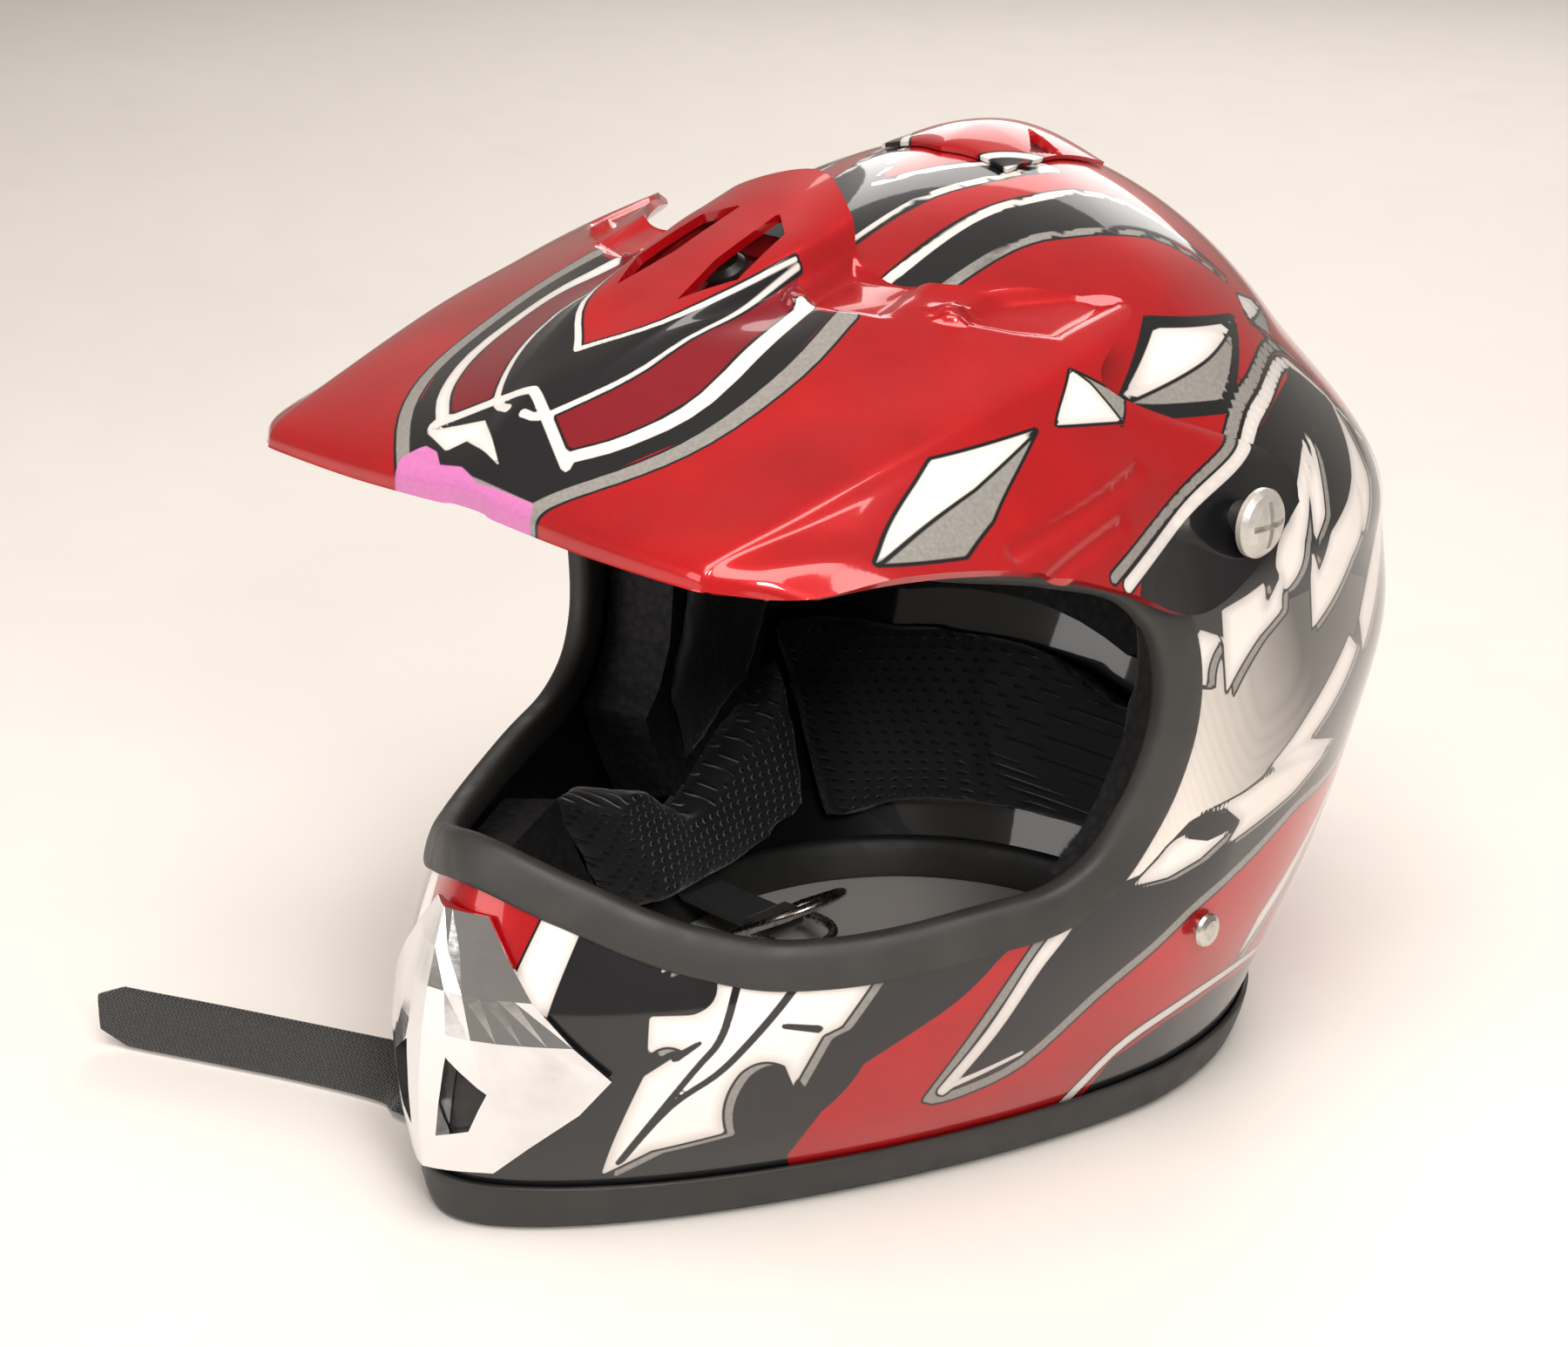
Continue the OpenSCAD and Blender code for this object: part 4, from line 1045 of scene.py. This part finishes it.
# ---------- straps ----------
strap = {
    "wall": 2.0, "width": 20,
    "long": [
        ((107.9, 1, 57.7), (0, 1, 0)), ((104.6, 1, 57.4), (0, 1, 0)), ((103.4, 1, 54), (0, 1, 0)),
        ((102.2, 0, 45), (0, 1, 0)), ((98.3, 0, 31), (0.1, 1, 0)), ((94.6, -1, 22.8), (0.05, 1, 0)),
        ((88.9, -6.4, 16.4), (-0.2, 1, 0)), ((74, -21, 8.6), (-0.5, 1, 0)), ((60, -40, 2.4), (-0.8, 1, 0)),
        ((44, -64, 1.3), (-1, 1, 0)), ((18, -94, 1.3), (-1, 1.1, 0)), ((-12, -121, 1.3), (-0.75, 1, 0)),
        ((-32, -135.5, 1.3), (-0.5, 1, 0)), ((-45, -143.4, 1.3), (-0.5, 1, 0)),
         ((-51, -146.5, 5.3), (-0.4, 0.9, 0.4)),
        ((-56.5, -149, 9.2), (-0.2, 0.5, 1.1)), ((-65, -152.3, 10.6), (0, 0.1, 1)),
         ((-89, -161, 10.6), (0, 0, 1)),
        ((-114, -171, 10.6), (0, 0, 1)), ((-139, -181.5, 10.6), (0, 0, 1)),
         ((-154, -187.5, 10.6), (0, 0, 1))],
    "longTip": 12, "tipLength": 9, "steps": 12,
}


def bandGrid(path, width, tipWidth, tipLength, wall, steps):
    # a flat section with rounded edges follows a smooth line, turned by the width directions
    centre = smoothLine([p for p, _ in path], steps)
    wide = unit(smoothLine([np.array(w, float) / np.linalg.norm(w) for _, w in path], steps))
    along = unit(np.gradient(centre, axis=0))
    wide = unit(wide - along * (wide * along).sum(-1, keepdims=True))
    out = np.cross(along, wide)
    run = np.append(0, np.cumsum(np.linalg.norm(np.diff(centre, axis=0), axis=1)))
    left = run[-1] - run
    half = (tipWidth + (width - tipWidth) * np.clip(left / tipLength, 0,
        1)) / 2 if tipLength else np.full(len(run), width / 2)
    a = np.linspace(0, 2 * np.pi, 37)[:-1]
    u = np.sign(np.cos(a)) * np.abs(np.cos(a))**0.5
    v = np.sign(np.sin(a)) * np.abs(np.sin(a))**0.5 * wall / 2
    grid = centre[:, None] + half[:, None, None] * u[None, :, None] * wide[:, None] + v[None, :,
        None] * out[:, None]
    ends = np.concatenate([run[:1], run, run[-1:]])
    along2 = np.repeat(ends[:, None], len(a), 1)
    wide2 = np.concatenate([half[:1], half, half[-1:]])[:, None] * u[None]
    return grid, along2, wide2, run[-1]


def makeBand(name, node, path, width, tipWidth, tipLength, finish):
    grid, along, wide, length = bandGrid(path, width, tipWidth, tipLength, strap["wall"], strap["steps"])
    points, quads = openRun(grid)
    piece = pieceFrom(name, points, quads, finish, 50, bandAlong=along, bandWide=wide)
    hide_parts(node)
    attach(piece, "helmet")
    print(name, "length in metres:", round(length * mm, 3))
    return piece


webbing = webbingFinish()
makeBand("strapLongBand", "strap_long", strap["long"], strap["width"], strap["longTip"],
    strap["tipLength"], webbing)

# ---------- pads ----------
pads = {
    "comfort_liner": {"voxel": 0.005, "reach": 0.004, "pressure": 2.0, "shrink": 0.0012, "fill": 0.45,
        "holes": False},
    "cheek_pad_left": {"voxel": 0.004, "reach": 0.005, "pressure": 4.0, "shrink": 0.0018, "fill": 0.6,
        "holes": True},
    "cheek_pad_right": {"voxel": 0.004, "reach": 0.005, "pressure": 4.0, "shrink": 0.0018, "fill": 0.6,
        "holes": True},
    "neck_roll": {"voxel": 0.005, "reach": 0.005, "pressure": 4.0, "shrink": 0.0018, "fill": 0.6,
        "holes": True},
}


def padFrom(node, recipe, finish):
    # the part's shape is drawn in a little, blown up as cloth, and held near where it began
    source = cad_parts[node]
    mesh = source.data.copy()
    mesh.name = node + "Padded"
    piece = bpy.data.objects.new(node + "Padded", mesh)
    bpy.context.scene.collection.objects.link(piece)
    remesh = piece.modifiers.new("even", "REMESH")
    remesh.mode = "VOXEL"
    remesh.voxel_size = recipe["voxel"]
    applyLook(piece)
    start = readPoints(piece.data)
    normals = np.zeros(len(start) * 3)
    piece.data.vertex_normals.foreach_get("vector", normals)
    start = start - normals.reshape(-1, 3) * recipe["shrink"]
    writePoints(piece.data, start)
    cloth = piece.modifiers.new("blown", "CLOTH")
    cloth.settings.use_pressure = True
    cloth.settings.uniform_pressure_force = recipe["pressure"]
    cloth.settings.effector_weights.gravity = 0
    cloth.point_cache.frame_start, cloth.point_cache.frame_end = 1, 20
    for step in range(1, 21):
        bpy.context.scene.frame_set(step)
    applyLook(piece)
    bpy.context.scene.frame_set(1)
    moved = readPoints(piece.data) - start
    size = np.linalg.norm(moved, axis=1, keepdims=True)
    limit = recipe["reach"]
    held = start + moved / np.maximum(size, 1e-9) * limit * np.tanh(size / limit)
    writePoints(piece.data, held)
    smooth = piece.modifiers.new("smooth", "SUBSURF")
    smooth.levels = smooth.render_levels = 1
    applyLook(piece)
    piece.data.polygons.foreach_set("use_smooth", np.ones(len(piece.data.polygons), bool))
    piece.data.materials.clear()
    piece.data.materials.append(finish)
    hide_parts(node)
    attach(piece, "helmet")
    return piece


def applyLook(piece):
    # the modifiers' result becomes the piece's own mesh
    bpy.context.view_layer.update()
    graph = bpy.context.evaluated_depsgraph_get()
    made = bpy.data.meshes.new_from_object(piece.evaluated_get(graph), depsgraph=graph)
    old = piece.data
    piece.modifiers.clear()
    piece.data = made
    bpy.data.meshes.remove(old)


def readPoints(mesh):
    flat = np.zeros(len(mesh.vertices) * 3)
    mesh.vertices.foreach_get("co", flat)
    return flat.reshape(-1, 3)


def writePoints(mesh, points):
    mesh.vertices.foreach_set("co", points.ravel())
    mesh.update()


knit = knitFinish("spacerKnit", True)
smoothKnit = knitFinish("liningCloth", False)
for node, recipe in pads.items():
    padFrom(node, recipe, knit if recipe["holes"] else smoothKnit)
    print("pad made:", node)

# ---------- finishes of the parts kept as packed ----------
foam = foamFinish()
silver = mouldedFinish("screwSilver", tone(0.62, 0.60, 0.56), 0.34, 0.55)
blackPlastic = mouldedFinish("screwBlack", tone(0.012, 0.012, 0.012), 0.4)
plated = steelFinish("platedSteel", tone(0.70, 0.69, 0.66), 0.22)
keptFinishes = {
    "eps_liner": foam, "chin_bar_eps": foam,
    "peak_bushing_left": rubberFinish("bushingRubber", tone(0.02, 0.02, 0.02)), "peak_bushing_right": None,
    "peak_screw_left": silver, "peak_screw_right": silver, "peak_screw_center": blackPlastic,
    "tnut_left": plated, "tnut_right": plated, "tnut_center": plated,
    "nose_vent": chromeFinish(), "nose_vent_mesh": mouldedFinish("meshPlastic",
        tone(0.012, 0.012, 0.012), 0.45),
    "d_ring_outer": plated, "d_ring_inner": plated, "anchor_left": plated, "anchor_right": plated,
    "rivet_left": steelFinish("rivetSteel", tone(0.62, 0.60, 0.57), 0.28), "rivet_right": None,
        "strap_short": webbing,
}
previous = None
for node, finish in keptFinishes.items():
    previous = finish or previous
    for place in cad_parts[node].material_slots:
        place.material = previous

# ---------- floor ----------
floorMesh = bpy.data.meshes.new("floor")
floorMesh.from_pydata([(-9, -9, -0.0006), (9, -9, -0.0006), (9, 9, -0.0006), (-9, 9, -0.0006)], [],
    [(0, 1, 2, 3)])
floorMesh.materials.append(floorFinish())
floor = bpy.data.objects.new("floor", floorMesh)
bpy.context.scene.collection.objects.link(floor)

print("size written")
